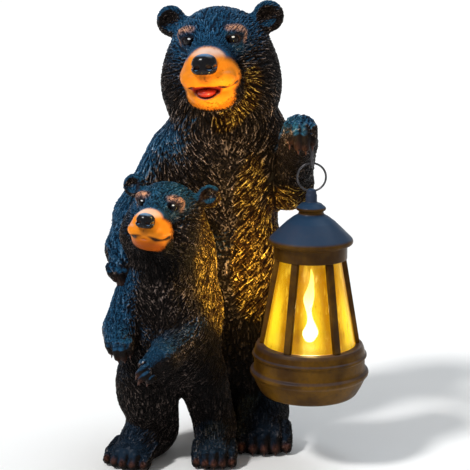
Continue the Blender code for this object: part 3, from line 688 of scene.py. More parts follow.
def fur_finish(look):
    """Near-black cast fur with brown dry-brush paint and a painted highlight on its ridges, painted golden
    lamplight beside the lantern, painted blue skylight where it faces up, and painted shade.
    """
    made = Finish("painted_resin_fur", roughness=0.5, Specular_IOR_Level=0.06)
    lock, across, tone, tan, dim = map(made.attribute, ("lock", "across", "tone", "tan", "dim"))
    # The strands along each lock, and the relief that they make with it
    across = made.plus(across, made.times(made.noise(260.0, 2.0), 0.10))
    strands = []
    for pitch, jump in ((0.150, 5.3), (0.085, 11.7)):
        wave = made.plus(made.math("DIVIDE", across, pitch), made.times(tone, jump))
        strands.append(made.ramp(made.math("PINGPONG", wave, 0.5), 0.03, 0.45))
    strand = made.plus(made.times(strands[0], 0.6), made.times(strands[1], 0.4))
    carved = made.plus(made.times(strand, 0.32), made.times(lock, 0.80))
    relief = made.plus(carved, made.times(made.attribute("short"), 0.36))
    # The dark fur, with brown dry-brush paint and a painted highlight on its ridges, darker in the painted
    # shade
    worn = made.ramp(made.noise(42.0, 4.0), 0.32, 0.68, 0.25, 1.0)
    lit = made.rest(made.times(dim, 0.88))
    ridge_brush_and_highlight = made.times(made.ramp(carved, 0.62, 0.96), worn)
    fur = made.blend(made.times(made.ramp(relief, 0.28, 0.70), lit), look.fur_valley, look.fur_body)
    fur = made.blend(made.times(ridge_brush_and_highlight, lit), fur, look.fur_ridge_brush_and_highlight)
    # Painted blue skylight where it faces up, less so near the lantern, near the ground and in the painted
    # shade
    normal = made.node("ShaderNodeNewGeometry", output="Normal")
    sky = tuple(unit_row((-0.30, -0.12, 0.95)))
    up = made.vector_math("DOT_PRODUCT", normal, sky, output="Value")
    up = made.ramp(up, look.painted_skylight_from, look.painted_skylight_full, 0.0, 0.97)
    lamp = tuple(np.array([30.0, -62.0, 140.0]) * UNIT + SHIFT)
    gap = made.vector_math("DISTANCE", made.place(), lamp, output="Value")
    up = made.times(up, made.ramp(gap, 0.035, 0.062))
    up = made.math("ADD", up, made.attribute("painted_skylight"), clamp=True)
    up = made.times(up, made.ramp(made.height(), 0.015, 0.060, 0.34, 1.0))
    up = made.times(up, made.rest(made.times(dim, 0.8)))
    painted_skylight = made.blend(made.ramp(relief, 0.34, 0.70), look.painted_skylight_valley, look.painted_skylight_body)
    fur = made.blend(up, fur, made.blend(ridge_brush_and_highlight, painted_skylight, look.painted_skylight_ridge))
    # Painted golden lamplight on the fur beside the lantern, in patches
    painted_lamplit_fur = made.blend(made.ramp(relief, 0.32, 0.70), look.gold_valley, look.gold_body)
    painted_lamplit_ridges = made.times(made.ramp(carved, 0.60, 0.92), made.ramp(worn, 0.2, 0.7, 0.60, 1.0))
    painted_lamplit_fur = made.blend(painted_lamplit_ridges, painted_lamplit_fur, look.gold_ridge)
    patchy = made.ramp(made.noise(70.0, 3.0), 0.45, 0.7, 0.0, 0.35)
    patchy = made.math("SUBTRACT", made.attribute("gold"), patchy)
    fur = made.blend(made.ramp(patchy, 0.05, 0.75), fur, painted_lamplit_fur)
    # Brown toes
    brown = made.blend(made.ramp(relief, 0.3, 0.9), TOE_SHADOW, look.nail)
    fur = made.blend(made.times(made.attribute("nail"), 0.85), fur, brown)
    # The patches over the eyes
    glow = made.times(made.attribute("brow"), made.ramp(relief, 0.30, 0.75, 0.06, 1.0))
    fur = made.blend(glow, fur, look.brow)
    # The tan muzzle, with an edge that follows the locks. It is paler where it faces up and more orange
    # below, partly its own two tones and partly painted light, and darker in the painted shade
    patch = made.blend(made.ramp(made.upward(), 0.58, 0.95), look.muzzle_low, look.muzzle_high)
    patch = made.blend(made.ramp(made.noise(60.0, 2.0), 0.45, 0.75, 0.0, 0.40), patch, MUZZLE_CLOUD)
    patch = made.blend(dim, patch, MUZZLE_PAINTED_SHADE)
    patch = made.blend(made.times(made.ramp(relief, 0.40, 0.1), 0.22), patch, MUZZLE_DEEP)
    edge = made.times(tan, made.rest(tan), 3.2)
    tan = made.plus(tan, made.times(made.math("SUBTRACT", relief, 0.55), edge))
    coat = made.blend(made.ramp(tan, 0.2, 0.8), fur, patch)
    # Dark eye rims and lip lines, painted shade under the nose and in the ear hollows, and the inside of the
    # mouth
    coat = made.blend(made.attribute("dark"), coat, look.rim_and_shade)
    made.colour(made.blend(made.attribute("mouth"), coat, look.mouth))
    made.feed(made.shader.inputs["Roughness"], made.ramp(relief, 0.0, 0.9, 0.62, 0.36))
    made.bump(carved, 0.0011)
    return made.material


# The finishes


def opaque(colour):
    """A colour with its alpha, or a node's output as it is."""
    return colour if isinstance(colour, bpy.types.NodeSocket) else (*colour, 1.0)


class Finish:
    """A node material, built up step by step round its Principled shader."""

    def __init__(self, name, roughness=0.5, metallic=0.0, **plain):
        self.material = bpy.data.materials.new(name)
        self.material.use_nodes = True
        self.tree = self.material.node_tree
        self.shader = self.tree.nodes["Principled BSDF"]
        self.shader.inputs["Roughness"].default_value = roughness
        self.shader.inputs["Metallic"].default_value = metallic
        for socket, value in plain.items():
            self.shader.inputs[socket.replace("_", " ")].default_value = value

    def feed(self, socket, value):
        """Links a node's output to an input, or sets a plain value there."""
        if isinstance(value, bpy.types.NodeSocket):
            self.tree.links.new(value, socket)
        else:
            socket.default_value = value

    def node(self, kind, inputs=(), output=0, **settings):
        """A new node with its inputs fed. Gives one of its outputs."""
        made = self.tree.nodes.new(kind)
        for name, value in settings.items():
            setattr(made, name, value)
        for key, value in dict(inputs).items():
            self.feed(made.inputs[key], value)
        return made.outputs[output]

    def attribute(self, name):
        """A share that the mesh keeps at each point."""
        return self.node("ShaderNodeAttribute", output="Fac", attribute_name=name)

    def place(self):
        """Object coordinates, which are places in the model."""
        return self.node("ShaderNodeTexCoord", output="Object")

    def height(self):
        """The height above the ground."""
        return self.node("ShaderNodeSeparateXYZ", {0: self.place()}, output=2)

    def math(self, operation, *values, clamp=False):
        return self.node("ShaderNodeMath", dict(enumerate(values)), operation=operation, use_clamp=clamp)

    def plus(self, first, second):
        return self.math("ADD", first, second)

    def times(self, first, *others):
        """The product of several values."""
        for value in others:
            first = self.math("MULTIPLY", first, value)
        return first

    def rest(self, share):
        """What is left of 1."""
        return self.math("SUBTRACT", 1.0, share)

    def vector_math(self, operation, *values, output="Vector"):
        return self.node("ShaderNodeVectorMath", dict(enumerate(values)), output=output, operation=operation)

    def ramp(self, value, low, high, to_low=0.0, to_high=1.0):
        """A soft change from one value to another."""
        inputs = {"Value": value, "From Min": low, "From Max": high, "To Min": to_low, "To Max": to_high}
        return self.node("ShaderNodeMapRange", inputs, interpolation_type="SMOOTHSTEP")

    def blend(self, share, first, second):
        """The first colour where the share is 0, and the second where it is 1."""
        inputs = {"Factor": share, 6: opaque(first), 7: opaque(second)}
        return self.node("ShaderNodeMix", inputs, output=2, data_type="RGBA")

    def noise(self, scale, detail=3.0, roughness=0.55, vector=None):
        vector = vector or self.place()
        inputs = {"Scale": scale, "Detail": detail, "Roughness": roughness, "Vector": vector}
        return self.node("ShaderNodeTexNoise", inputs)

    def cloud(self, scale, detail, low, high, first, second):
        """Two colours in soft patches."""
        return self.blend(self.ramp(self.noise(scale, detail), low, high), first, second)

    def colour(self, value):
        self.feed(self.shader.inputs["Base Color"], opaque(value))

    def glow(self, value, strength):
        self.feed(self.shader.inputs["Emission Color"], value)
        self.shader.inputs["Emission Strength"].default_value = strength

    def bump(self, height, distance, strength=1.0):
        inputs = {"Height": height, "Distance": distance, "Strength": strength}
        self.feed(self.shader.inputs["Normal"], self.node("ShaderNodeBump", inputs))

    def upward(self):
        """The share of the surface's direction that points up, from -1 to 1."""
        normal = self.node("ShaderNodeNewGeometry", output="Normal")
        return self.node("ShaderNodeSeparateXYZ", {0: normal}, output=2)


def gloss_finish(name, colour, streak, roughness=0.12, gloss=0.5):
    """Glossy paint with a faint cloudy change of colour and shallow brush marks."""
    made = Finish(name, roughness=roughness, Specular_IOR_Level=gloss)
    made.colour(made.cloud(320.0, 3.0, 0.4, 0.7, colour, streak))
    made.bump(made.noise(900.0), 0.00005, 0.5)
    return made.material


def nose_finish(look):
    """Glossy black paint with a painted blue highlight on top."""
    made = Finish("nose_gloss", roughness=0.2, Specular_IOR_Level=0.2)
    # A painted blue highlight where the nose faces up
    made.colour(made.blend(made.ramp(made.upward(), 0.70, 1.0), look.eye, (0.13, 0.26, 0.46)))
    made.bump(made.noise(700.0), 0.00008, 0.5)
    return made.material


def plastic_finish(look):
    """Dark bronze-brown moulded plastic, rubbed lighter here and there, with painted blue skylight where it
    faces up.
    """
    made = Finish("dark_plastic_satin", roughness=0.4, Specular_IOR_Level=0.08)
    base = made.cloud(38.0, 5.0, 0.35, 0.7, look.plastic_dark, look.plastic_light)
    grain = made.ramp(made.noise(420.0, 2.0), 0.45, 0.75, 0.0, 0.35)
    base = made.blend(grain, base, (0.035, 0.022, 0.014))
    height = made.height()
    low, high = (corner[2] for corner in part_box("lantern_cap"))
    # Painted blue skylight where it faces up, weaker below the cap, and a painted highlight over the top of
    # the knob
    sky = made.ramp(made.upward(), 0.25, 0.80, 0.0, 0.95)
    sky = made.times(sky, made.ramp(height, low, low + 0.010, 0.30, 1.0))
    sky = made.math("MAXIMUM", sky, made.ramp(height, high - 0.012, high - 0.008, 0.0, 0.7))
    made.colour(made.blend(sky, base, look.plastic_painted_sky))
    made.feed(made.shader.inputs["Roughness"], made.ramp(made.noise(60.0), 0.3, 0.7, 0.30, 0.48))
    made.bump(made.noise(520.0, 4.0), 0.00012, 0.7)
    return made.material


def wire_finish():
    """Dark coated steel wire."""
    made = Finish("dark_coated_wire", roughness=0.34, metallic=0.85)
    made.colour(made.cloud(260.0, 3.0, 0.35, 0.7, (0.045, 0.043, 0.047), (0.10, 0.095, 0.10)))
    made.bump(made.noise(1400.0), 0.00004, 0.6)
    return made.material


def shade_finish(look):
    """Clear plastic lit amber from inside, yellow in each pane's middle and streaked like drawn plastic."""
    made = Finish("clear_shade_lit", roughness=0.08, Alpha=0.74, IOR=1.46, Specular_IOR_Level=0.12)
    axes = made.node("ShaderNodeSeparateXYZ", {0: made.place()})
    across, deep, height = (axes.node.outputs[k] for k in range(3))
    x, y = lantern_middle()
    low, high = (corner[2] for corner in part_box("lantern_glass"))
    # From -1 at each bar to 1 in the middle of each pane
    angle = made.math("ARCTAN2", made.math("SUBTRACT", deep, y), made.math("SUBTRACT", across, x))
    wave = made.math("COSINE", made.plus(made.times(angle, 6.0), 3.0 * math.pi))
    rise = made.ramp(height, low, high)
    flame = made.math("ABSOLUTE", made.math("SUBTRACT", height, low + 0.012))
    middle = made.times(
        made.ramp(wave, -0.5, 1.0),
        made.ramp(rise, 1.0, 0.4, 0.35, 1.0),
        made.ramp(flame, 0.036, 0.006, 0.55, 1.0),
        made.ramp(height, low, low + 0.006, 0.5, 1.0),
        0.95,
    )
    stretched = {"Vector": made.place(), "Scale": (1.0, 1.0, 0.22)}
    streaks = made.noise(170.0, 4.0, 0.65, made.node("ShaderNodeMapping", stretched, vector_type="POINT"))
    warm = made.blend(rise, look.shade_low, look.shade_high)
    warm = made.blend(middle, warm, look.shade_middle)
    warm = made.blend(made.ramp(streaks, 0.52, 0.68, 0.0, 0.60), warm, (0.85, 0.58, 0.04))
    warm = made.blend(made.ramp(streaks, 0.47, 0.32, 0.0, 0.55), warm, (0.20, 0.080, 0.001))
    made.colour(made.blend(0.75, warm, (0.02, 0.008, 0.001)))
    made.glow(warm, look.shade_glow)
    made.bump(streaks, 0.0004, 0.5)
    return made.material


def flame_finish(look):
    """The glowing flame."""
    made = Finish("flame_core", roughness=0.4)
    low, high = (corner[2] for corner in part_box("lantern_light"))
    hot = made.blend(made.ramp(made.height(), low, high), look.flame_core, look.flame_tip)
    waver = made.ramp(made.noise(120.0, 2.0), 0.3, 0.7, 0.85, 1.0)
    made.colour(hot)
    made.glow(made.blend(waver, look.flame_tip, hot), look.flame_glow)
    return made.material


def floor_finish():
    """Nearly white studio paper."""
    made = Finish("pale_studio_floor", roughness=0.85)
    made.colour(made.cloud(3.0, 3.0, 0.3, 0.7, (0.90, 0.90, 0.90), (0.94, 0.94, 0.94)))
    return made.material


def settle_piece(piece, finish, slot, nodes=(), angle=40):
    """Gives a finished piece its material and its place on the model, and hides the CAD nodes it stands for.
    """
    piece.data.materials.clear()
    piece.data.materials.append(finish)
    chosen(piece)
    bpy.ops.object.transform_apply(location=True, rotation=True, scale=True)
    if angle:
        bpy.ops.object.shade_smooth_by_angle(angle=math.radians(angle))
    else:
        bpy.ops.object.shade_smooth()
    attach(piece, "root")
    if nodes:
        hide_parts(*nodes)
    if slot == "painted_resin":
        bpy.data.collections["lit_by_lantern"].objects.link(piece)
    start_piece()


def join_pieces(parts, name):
    """One object from several."""
    start_piece()
    for part in parts:
        part.select_set(True)
    bpy.context.view_layer.objects.active = parts[0]
    bpy.ops.object.join()
    parts[0].name = name
    return parts[0]


def new_form(name):
    """The primitive just added, named and with its place in its mesh."""
    piece = bpy.context.active_object
    piece.name = name
    bpy.ops.object.transform_apply(location=True, rotation=True, scale=True)
    return piece


def edit_all():
    """Enters edit mode with the whole piece selected."""
    bpy.ops.object.mode_set(mode="EDIT")
    bpy.ops.mesh.select_all(action="SELECT")


def close_form():
    """Turns all faces outwards and leaves edit mode."""
    bpy.ops.mesh.select_all(action="SELECT")
    bpy.ops.mesh.normals_make_consistent(inside=False)
    bpy.ops.object.mode_set(mode="OBJECT")


def turned_form(name, outline, centre, steps, ring=False):
    """A form turned about an upright axis: a circle extruded and scaled from ring to ring, then closed."""
    start_piece()
    x, y, foot_level = centre
    radius, height = outline[0]
    bpy.ops.mesh.primitive_circle_add(vertices=steps, radius=radius, location=(x, y, foot_level + height))
    piece = new_form(name)
    edit_all()
    for next_radius, next_height in outline[1:]:
        bpy.ops.mesh.extrude_region_move(TRANSFORM_OT_translate={"value": (0, 0, next_height - height)})
        grow = next_radius / radius
        bpy.ops.transform.resize(value=(grow, grow, 1), center_override=(x, y, foot_level + next_height))
        radius, height = next_radius, next_height
    if not ring:
        bpy.ops.mesh.edge_face_add()
    bpy.ops.mesh.select_all(action="DESELECT")
    bpy.ops.mesh.select_non_manifold(extend=False)
    if ring:
        bpy.ops.mesh.bridge_edge_loops()
    else:
        bpy.ops.mesh.edge_face_add()
    close_form()
    return piece


def rounded(outline, reach, steps=3):
    """An outline whose inner corners are rounded off by about the reach."""
    points = [Vector(p) for p in outline]
    made = [tuple(points[0])]
    for before, here, after in zip(points, points[1:], points[2:]):
        one = here + (before - here).normalized() * min(reach, (before - here).length * 0.45)
        two = here + (after - here).normalized() * min(reach, (after - here).length * 0.45)
        for k in range(steps + 1):
            t = k / steps
            made.append(tuple(one * (1 - t) ** 2 + here * 2 * t * (1 - t) + two * t**2))
    made.append(tuple(points[-1]))
    return made


def lantern_middle():
    """Where the lantern's upright axis stands."""
    low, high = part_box("lantern_cap")
    return (low[0] + high[0]) / 2, (low[1] + high[1]) / 2


# The sizes and colours that can be changed


def paint(name, description, *default):
    """A colour that can be changed."""
    return FloatVectorProperty(name=name, description=description, subtype="COLOR", default=default)


def length(name, description, default):
    """A length in metres that can be changed."""
    return FloatProperty(name=name, description=description, unit="LENGTH", precision=5, default=default)


class FurLook(bpy.types.PropertyGroup):
    """The two bears' fur and faces."""

    mother_lock: FloatProperty(
        name="Mother's lock",
        description="Length of a lock of the mother's fur in millimetres",
        default=10.0,
        min=5.0,
    )
    cub_lock: FloatProperty(
        name="Cub's lock",
        description="Length of a lock of the cub's fur in millimetres",
        default=7.5,
        min=4.0,
    )
    lock_width: FloatProperty(
        name="Lock width",
        description="Width of a lock as a share of its length",
        default=0.25,
        subtype="FACTOR",
    )
    lock_height: FloatProperty(
        name="Lock height",
        description="Height of a lock as a share of its length",
        default=0.15,
        subtype="FACTOR",
    )
    most_faces: IntProperty(
        name="Most faces",
        description="Largest number of triangles of a piece with fur",
        default=195000,
    )
    body_grain: length("Body grain", "Size of the faces of her body", 0.00100)
    head_grain: length("Head grain", "Size of the faces of her head", 0.00072)
    cub_grain: length("Cub grain", "Size of the cub's faces", 0.00080)
    fur_valley: paint("Fur, deep", "Fur between the locks", 0.0026, 0.0020, 0.0020)
    fur_body: paint("Fur, middle", "Fur on the sides of the locks", 0.010, 0.0068, 0.0058)
    # The ridge colours are partly dry-brush paint and partly painted highlight
    fur_ridge_brush_and_highlight: paint("Fur, brushed", "Fur on the ridges", 0.600, 0.460, 0.400)
    # The blue fur is painted skylight on fur that faces up
    painted_skylight_valley: paint("Blue fur, deep", "Upward fur between the locks", 0.003, 0.013, 0.031)
    painted_skylight_body: paint("Blue fur, middle", "Sides of upward locks", 0.014, 0.090, 0.195)
    painted_skylight_ridge: paint("Blue fur, brushed", "Upward fur on the ridges", 0.220, 0.380, 0.540)
    painted_skylight_from: FloatProperty(
        name="Blue from", description="Upward share of the surface at which the blue begins", default=0.28
    )
    painted_skylight_full: FloatProperty(
        name="Blue full", description="Upward share of the surface at which it is full", default=0.62
    )
    # The golden fur is painted lamplight from the lantern
    gold_valley: paint("Gold fur, deep", "Gold fur between the locks", 0.0036, 0.0013, 0.0003)
    gold_body: paint("Gold fur, middle", "Sides of gold locks", 0.050, 0.022, 0.005)
    gold_ridge: paint("Gold fur, brushed", "Gold fur on the ridges", 0.960, 0.700, 0.150)
    nail: paint("Toes", "Brown at the ends of the toes", 0.110, 0.040, 0.024)
    # The muzzle's tones are partly its own paint and partly painted light, paler where it faces up
    muzzle_low: paint("Muzzle, low", "Sides and chin of the muzzle", 0.840, 0.250, 0.012)
    muzzle_high: paint("Muzzle, high", "Bridge of the muzzle", 0.780, 0.560, 0.460)
    brow: paint("Brow", "Brushed patch over the eyes", 0.660, 0.330, 0.190)
    # This colour is dark paint on the eye rims and lips, and painted shade under the nose and in the ear
    # hollows
    rim_and_shade: paint("Eye rim", "Eye rims, lips and ear hollows", 0.022, 0.010, 0.007)
    mouth: paint("Mouth", "Inside of the mouth", 0.200, 0.012, 0.008)
    eye: paint("Eye and nose", "Glossy paint", 0.006, 0.006, 0.008)
    tongue: paint("Tongue", "Paint of the tongue", 0.420, 0.022, 0.010)
    claw: paint("Claw", "Paint of the claws", 0.075, 0.026, 0.016)


class LanternLook(bpy.types.PropertyGroup):
    """The hanging lantern."""

    roof_radius: length("Roof", "Radius of the roof", 0.0293)
    collar_radius: length("Collar", "Radius under the roof", 0.0254)
    ridge_radius: length("Ridge", "Radius of the base's ridge", 0.0417)
    foot_radius: length("Foot", "Radius of the base's foot", 0.0325)
    base_height: length("Base height", "Height of the base", 0.0360)
    cap_height: length("Cap height", "Height of the cap", 0.0485)
    turn_steps: IntProperty(name="Round steps", description="Sides of a turned form", default=96, min=24)
    plastic_dark: paint("Plastic, dark", "Moulded plastic", 0.042, 0.017, 0.002)
    plastic_light: paint("Plastic, rubbed", "Moulded plastic, rubbed", 0.130, 0.060, 0.005)
    # The top colour is painted blue skylight and highlight on plastic that faces up
    plastic_painted_sky: paint("Plastic, top", "Moulded plastic facing up", 0.014, 0.042, 0.088)
    shade_low: paint("Pane, low", "Lit pane near the deck", 0.42, 0.19, 0.002)
    shade_high: paint("Pane, high", "Lit pane near the roof", 0.330, 0.145, 0.001)
    shade_middle: paint("Pane, middle", "Brightest part of a lit pane", 1.0, 0.690, 0.022)
    shade_glow: FloatProperty(name="Pane glow", description="Strength of the lit pane", default=1.0, min=0.0)
    flame_core: paint("Flame, core", "Hottest part", 1.0, 0.86, 0.52)
    flame_tip: paint("Flame, tip", "Flame tip", 1.0, 0.55, 0.10)
    flame_glow: FloatProperty(name="Flame glow", description="Strength of the flame", default=34.0, min=0.0)


class StageLook(bpy.types.PropertyGroup):
    """The camera and the lights."""

    camera_height: length("Aim height", "Height the camera aims at", 0.1526)
    camera_distance: length("Distance", "Camera to aim point", 0.90)
    camera_elevation: FloatProperty(
        name="Elevation",
        description="Camera angle above level",
        default=math.radians(11.5),
        unit="ROTATION",
    )
    lens: FloatProperty(name="Lens", description="Focal length in millimetres", default=93.0)
    key_power: FloatProperty(name="Key light", description="Strength of the key light", default=2.3)
    lamp_power: FloatProperty(
        name="Lantern light",
        description="Power of the lantern's light in watts",
        default=0.9,
    )


# The bears


def mother_head(clay=None):
    """Her head, turned to her right and leaning a little."""
    return Bear(clay, (-10.5, 0, 281), turned(yaw=-9, roll=-3), 1.0)


def cub_head(clay=None):
    """The cub's head, smaller, raised and turned to its right."""
    return Bear(clay, (-48.3, -54, 173.5), turned(yaw=-13.5, pitch=-10, roll=6.0), 0.72)


# Limbs that the fur follows: start, end, reach and weight
MOTHER_LIMBS = [
    ((-30, 6, 235), (-71, 4, 166), 20, 1.6),
    ((-71, 4, 166), (-79, -34, 150), 15, 2.4),
    ((-79, -36, 150), (-76, -58, 128), 12, 3.0),
    ((16, 5, 225), (40, -6, 190), 18, 1.6),
    ((40, -6, 190), (44, -40, 226), 13, 2.6),
    ((44, -38, 228), (45.5, -64, 226), 13, 3.2),
    ((21, 4, 22), (21, -60, 9), 16, 2.6),
    ((-13, 4, 22), (-13, -30, 9), 14, 2.4),
]
CUB_LIMBS = [
    ((-72, -54, 122), (-79, -64, 98), 12, 1.8),
    ((-79, -64, 100), (-78, -86, 84), 11, 2.6),
    ((-37, -54, 128), (-29, -62, 98), 12, 1.8),
    ((-29, -64, 96), (-50, -88, 83), 11, 2.8),
    ((-50, -88, 83), (-64, -95, 73), 10, 3.0),
    ((-58, -42, 20), (-79, -84, 8), 15, 2.6),
    ((-14, -44, 22), (-15, -86, 8), 14, 2.6),
]

# Where the fur gets painted golden lamplight, where it gets painted shade and where it gets less painted blue
# skylight: centre, radii and strength
MOTHER_PAINTED_LAMPLIGHT = [
    ((18, -32, 138), (20, 34, 44), 1.0),
    ((12, -30, 184), (13, 30, 34), 0.65),
    ((41, -12, 180), (19, 30, 17), 1.0),
]
MOTHER_PAINTED_SHADE = [
    ((4, -12, 44), (62, 66, 66), 1.0),
    ((-40, -10, 120), (40, 50, 60), 0.6),
    ((44, -30, 205), (24, 32, 20), 0.45),
]
MOTHER_LESS_SKYLIGHT = [
    ((0, -34, 214), (34, 22, 34), 0.8),
    ((44, -20, 190), (26, 30, 34), 0.9),
]
CUB_LESS_SKYLIGHT = [
    ((-44, -80, 132), (24, 30, 34), 1.0),
    ((-64, -66, 62), (24, 30, 30), 0.8),
]
CUB_PAINTED_LAMPLIGHT = [
    ((-9, -46, 146), (22, 42, 50), 1.0),
]
CUB_PAINTED_SHADE = [
    ((-12, -48, 62), (24, 60, 52), 0.95),
    ((-44, -70, 146), (26, 30, 14), 0.8),
    ((-46, -84, 90), (16, 30, 22), 0.4),
]


class BEARSTATUE_OT_mother(bpy.types.Operator):
    """Carves the mother and combs her fur"""

    bl_idname = "bearstatue.mother"
    bl_label = "Mother Bear"

    def execute(self, context):
        look = context.scene.bear_fur
        finish = fur_finish(look)
        washes = MOTHER_PAINTED_LAMPLIGHT, MOTHER_PAINTED_SHADE, MOTHER_LESS_SKYLIGHT
        chest = (-6, 100, 250)
        coat = Coat(mother_head(), MOTHER_JAW, MOTHER_LIMBS, chest, look.mother_lock, 7, *washes, 2.7)
        for name, carve, low, high, step, cell in (
            ("mother_body", mother, (-102, -78, -5), (66, 56, 296), 2.6, look.body_grain),
            ("mother_head", mother_top, (-64, -80, 180), (44, 46, 330), 2.2, look.head_grain),
        ):
            clay = Clay()
            coat.claws = carve(clay) or []
            piece = clay_skin(name, clay, low, high, step, cell)
            combed(piece, coat, look)
            thinned(piece, look.most_faces)
            settle_piece(piece, finish, "painted_resin", ("bears",), angle=None)
        return {"FINISHED"}


class BEARSTATUE_OT_cub(bpy.types.Operator):
    """Carves the cub and combs its fur"""

    bl_idname = "bearstatue.cub"
    bl_label = "Bear Cub"

    def execute(self, context):
        look = context.scene.bear_fur
        clay = Clay()
        claws = cub(clay)
        piece = clay_skin("cub_fur", clay, (-106, -110, -5), (4, -10, 212), 2.0, look.cub_grain)
        washes = CUB_PAINTED_LAMPLIGHT, CUB_PAINTED_SHADE, CUB_LESS_SKYLIGHT
        chest = (-50, 60, 150)
        coat = Coat(cub_head(), CUB_JAW, CUB_LIMBS, chest, look.cub_lock, 11, *washes, 2.3)
        coat.claws = claws
        combed(piece, coat, look)
        thinned(piece, look.most_faces)
        settle_piece(piece, fur_finish(look), "painted_resin", ("bears",), angle=None)
        return {"FINISHED"}


def small_clay(name, clay, centre, reach, step):
    """A smooth closed object from a small clay form."""
    centre = np.array(centre, float)
    points, triangles = largest_piece(*skin(clay.field, centre - reach, centre + reach, step))
    return skin_piece(name, settled(clay.field, points, 2, 0.1), triangles)


def nose(name, head):
    """A broad nose with two nostrils and a groove below."""
    clay = Clay()
    made = Bear(clay, head.centre, head.turn, head.size)
    made.ball((0, -64.5, 0.6), (8.4, 6.4, 6.6), blend=2)
    made.ball((0, -62.5, 3.4), (7.6, 6.0, 4.0), blend=3)
    made.limb((-3.0, -69.4, -3.4), (3.0, -69.4, -3.4), 2.1, 2.1, blend=3)
    for side in (-1, 1):
        made.ball((side * 5.0, -65.5, -1.6), (3.7, 5.0, 3.9), blend=2.5)
        made.ball((side * 4.3, -71.0, -1.2), (2.1, 3.8, 1.5), turned(roll=side * 28), blend=1.2, carve=True)
        made.ball((side * 8.4, -67.6, -0.4), (1.8, 3.8, 1.1), turned(roll=side * -20), blend=1.2, carve=True)
    made.limb((0, -73.0, -2.5), (0, -69.5, -9), 0.8, 1.0, 1.0, True)
    return small_clay(name, clay, made.at((0, -65, 1)), 12 * head.size + 2, 0.5 * head.size)


def eye(name, head, side):
    """A dark eye with a raised front."""
    radius = EYE_RADIUS * head.size * UNIT
    middle = Vector(head.eye(side) * UNIT + SHIFT)
    out = Vector(head.turn @ unit_row((side * 0.10, -1.0, 0.05)))
    start_piece()
    bpy.ops.mesh.primitive_uv_sphere_add(segments=28, ring_count=16, radius=radius, location=middle)
    piece = new_form(name)
    for vertex in piece.data.vertices:
        vertex.select = (vertex.co - middle).dot(out) > radius * 0.78
    bpy.ops.object.mode_set(mode="EDIT")
    bpy.ops.mesh.select_mode(type="VERT")
    bpy.ops.transform.translate(value=out * radius * 0.12)
    bpy.ops.transform.resize(value=(0.92, 0.92, 0.92), center_override=middle + out * radius)
    bpy.ops.object.mode_set(mode="OBJECT")
    return piece


def glint(name, head, side):
    """A small white spot, a painted highlight, on the upper outer part of an eye."""
    radius = EYE_RADIUS * head.size * UNIT * 0.25
    out = unit_row((0.16, -1.0, 0.24))
    spot = Vector((head.eye(side) + head.turn @ out * 4.25 * head.size) * UNIT + SHIFT)
    start_piece()
    bpy.ops.mesh.primitive_ico_sphere_add(subdivisions=3, radius=radius, location=spot)
    piece = new_form(name)
    edit_all()
    bpy.ops.transform.resize(value=(1.15, 0.6, 0.95), center_override=spot)
    bpy.ops.object.mode_set(mode="OBJECT")
    return piece


def tongue(name, head, jaw_drop):
    """A flat tongue with a groove along it, low in the open mouth."""
    clay = Clay()
    made = Bear(clay, head.centre, head.turn, head.size)
    low = -15.4 - jaw_drop * 0.92
    made.ball((-1.2, -51.0, low), (7.2, 9.6, 1.0 + jaw_drop * 0.66), blend=1)
    made.limb((-1.2, -62, low + 3.5), (-1.2, -44, low + 4.7), 0.8, 0.8, 2.0, True)
    return small_clay(name, clay, made.at((0, -54.5, low)), 12 * head.size, 0.5 * head.size)


class BEARSTATUE_OT_faces(bpy.types.Operator):
    """Adds the eyes, noses and tongues"""

    bl_idname = "bearstatue.faces"
    bl_label = "Faces"

    def execute(self, context):
        look = context.scene.bear_fur
        eye_gloss = gloss_finish("eye_gloss", look.eye, (0.012, 0.009, 0.008), 0.10, 0.12)
        nose_gloss = nose_finish(look)
        white = gloss_finish("glint_white", (0.80, 0.82, 0.84), (0.92, 0.92, 0.92), 0.3)
        red = gloss_finish("tongue_paint", look.tongue, (0.42, 0.045, 0.02), 0.25)
        for name, head, drop in (("mother", mother_head(), MOTHER_JAW), ("cub", cub_head(), CUB_JAW)):
            eyes = join_pieces([eye(f"{name}_eye", head, side) for side in (-1, 1)], f"{name}_eyes")
            settle_piece(eyes, eye_gloss, "painted_resin", angle=None)
            # A white spot on each eye, a painted highlight
            painted_glints = join_pieces([glint(f"{name}_glint", head, side) for side in (-1, 1)], f"{name}_glints")
            settle_piece(painted_glints, white, "painted_resin", angle=None)
            settle_piece(nose(f"{name}_nose", head), nose_gloss, "painted_resin", angle=None)
            if drop > OPEN_FROM:
                settle_piece(tongue(f"{name}_tongue", head, drop), red, "painted_resin", angle=None)
        return {"FINISHED"}


def claw_form():
    """One curved claw at the origin, pointing along +Z and bending towards -X."""
    start_piece()
    bpy.ops.mesh.primitive_circle_add(vertices=12, radius=1.0)
    piece = bpy.context.active_object
    edit_all()
    bpy.ops.transform.resize(value=(1.15, 0.85, 1.0), center_override=(0, 0, 0))
    bpy.ops.mesh.edge_face_add()
    middle = Vector((0, 0, 0))
    for step in range(5):
        share = (step + 1) / 5
        move = Vector((-0.16 - 0.22 * step * 0.5, 0, 0.95))
        bpy.ops.mesh.extrude_region_move(TRANSFORM_OT_translate={"value": move})
        middle += move
        shrink = math.sqrt(1.02 - share**1.6) / math.sqrt(1.02 - (step / 5) ** 1.6)
        bpy.ops.transform.resize(value=(shrink, shrink, 1.0), center_override=middle)
    close_form()
    return piece


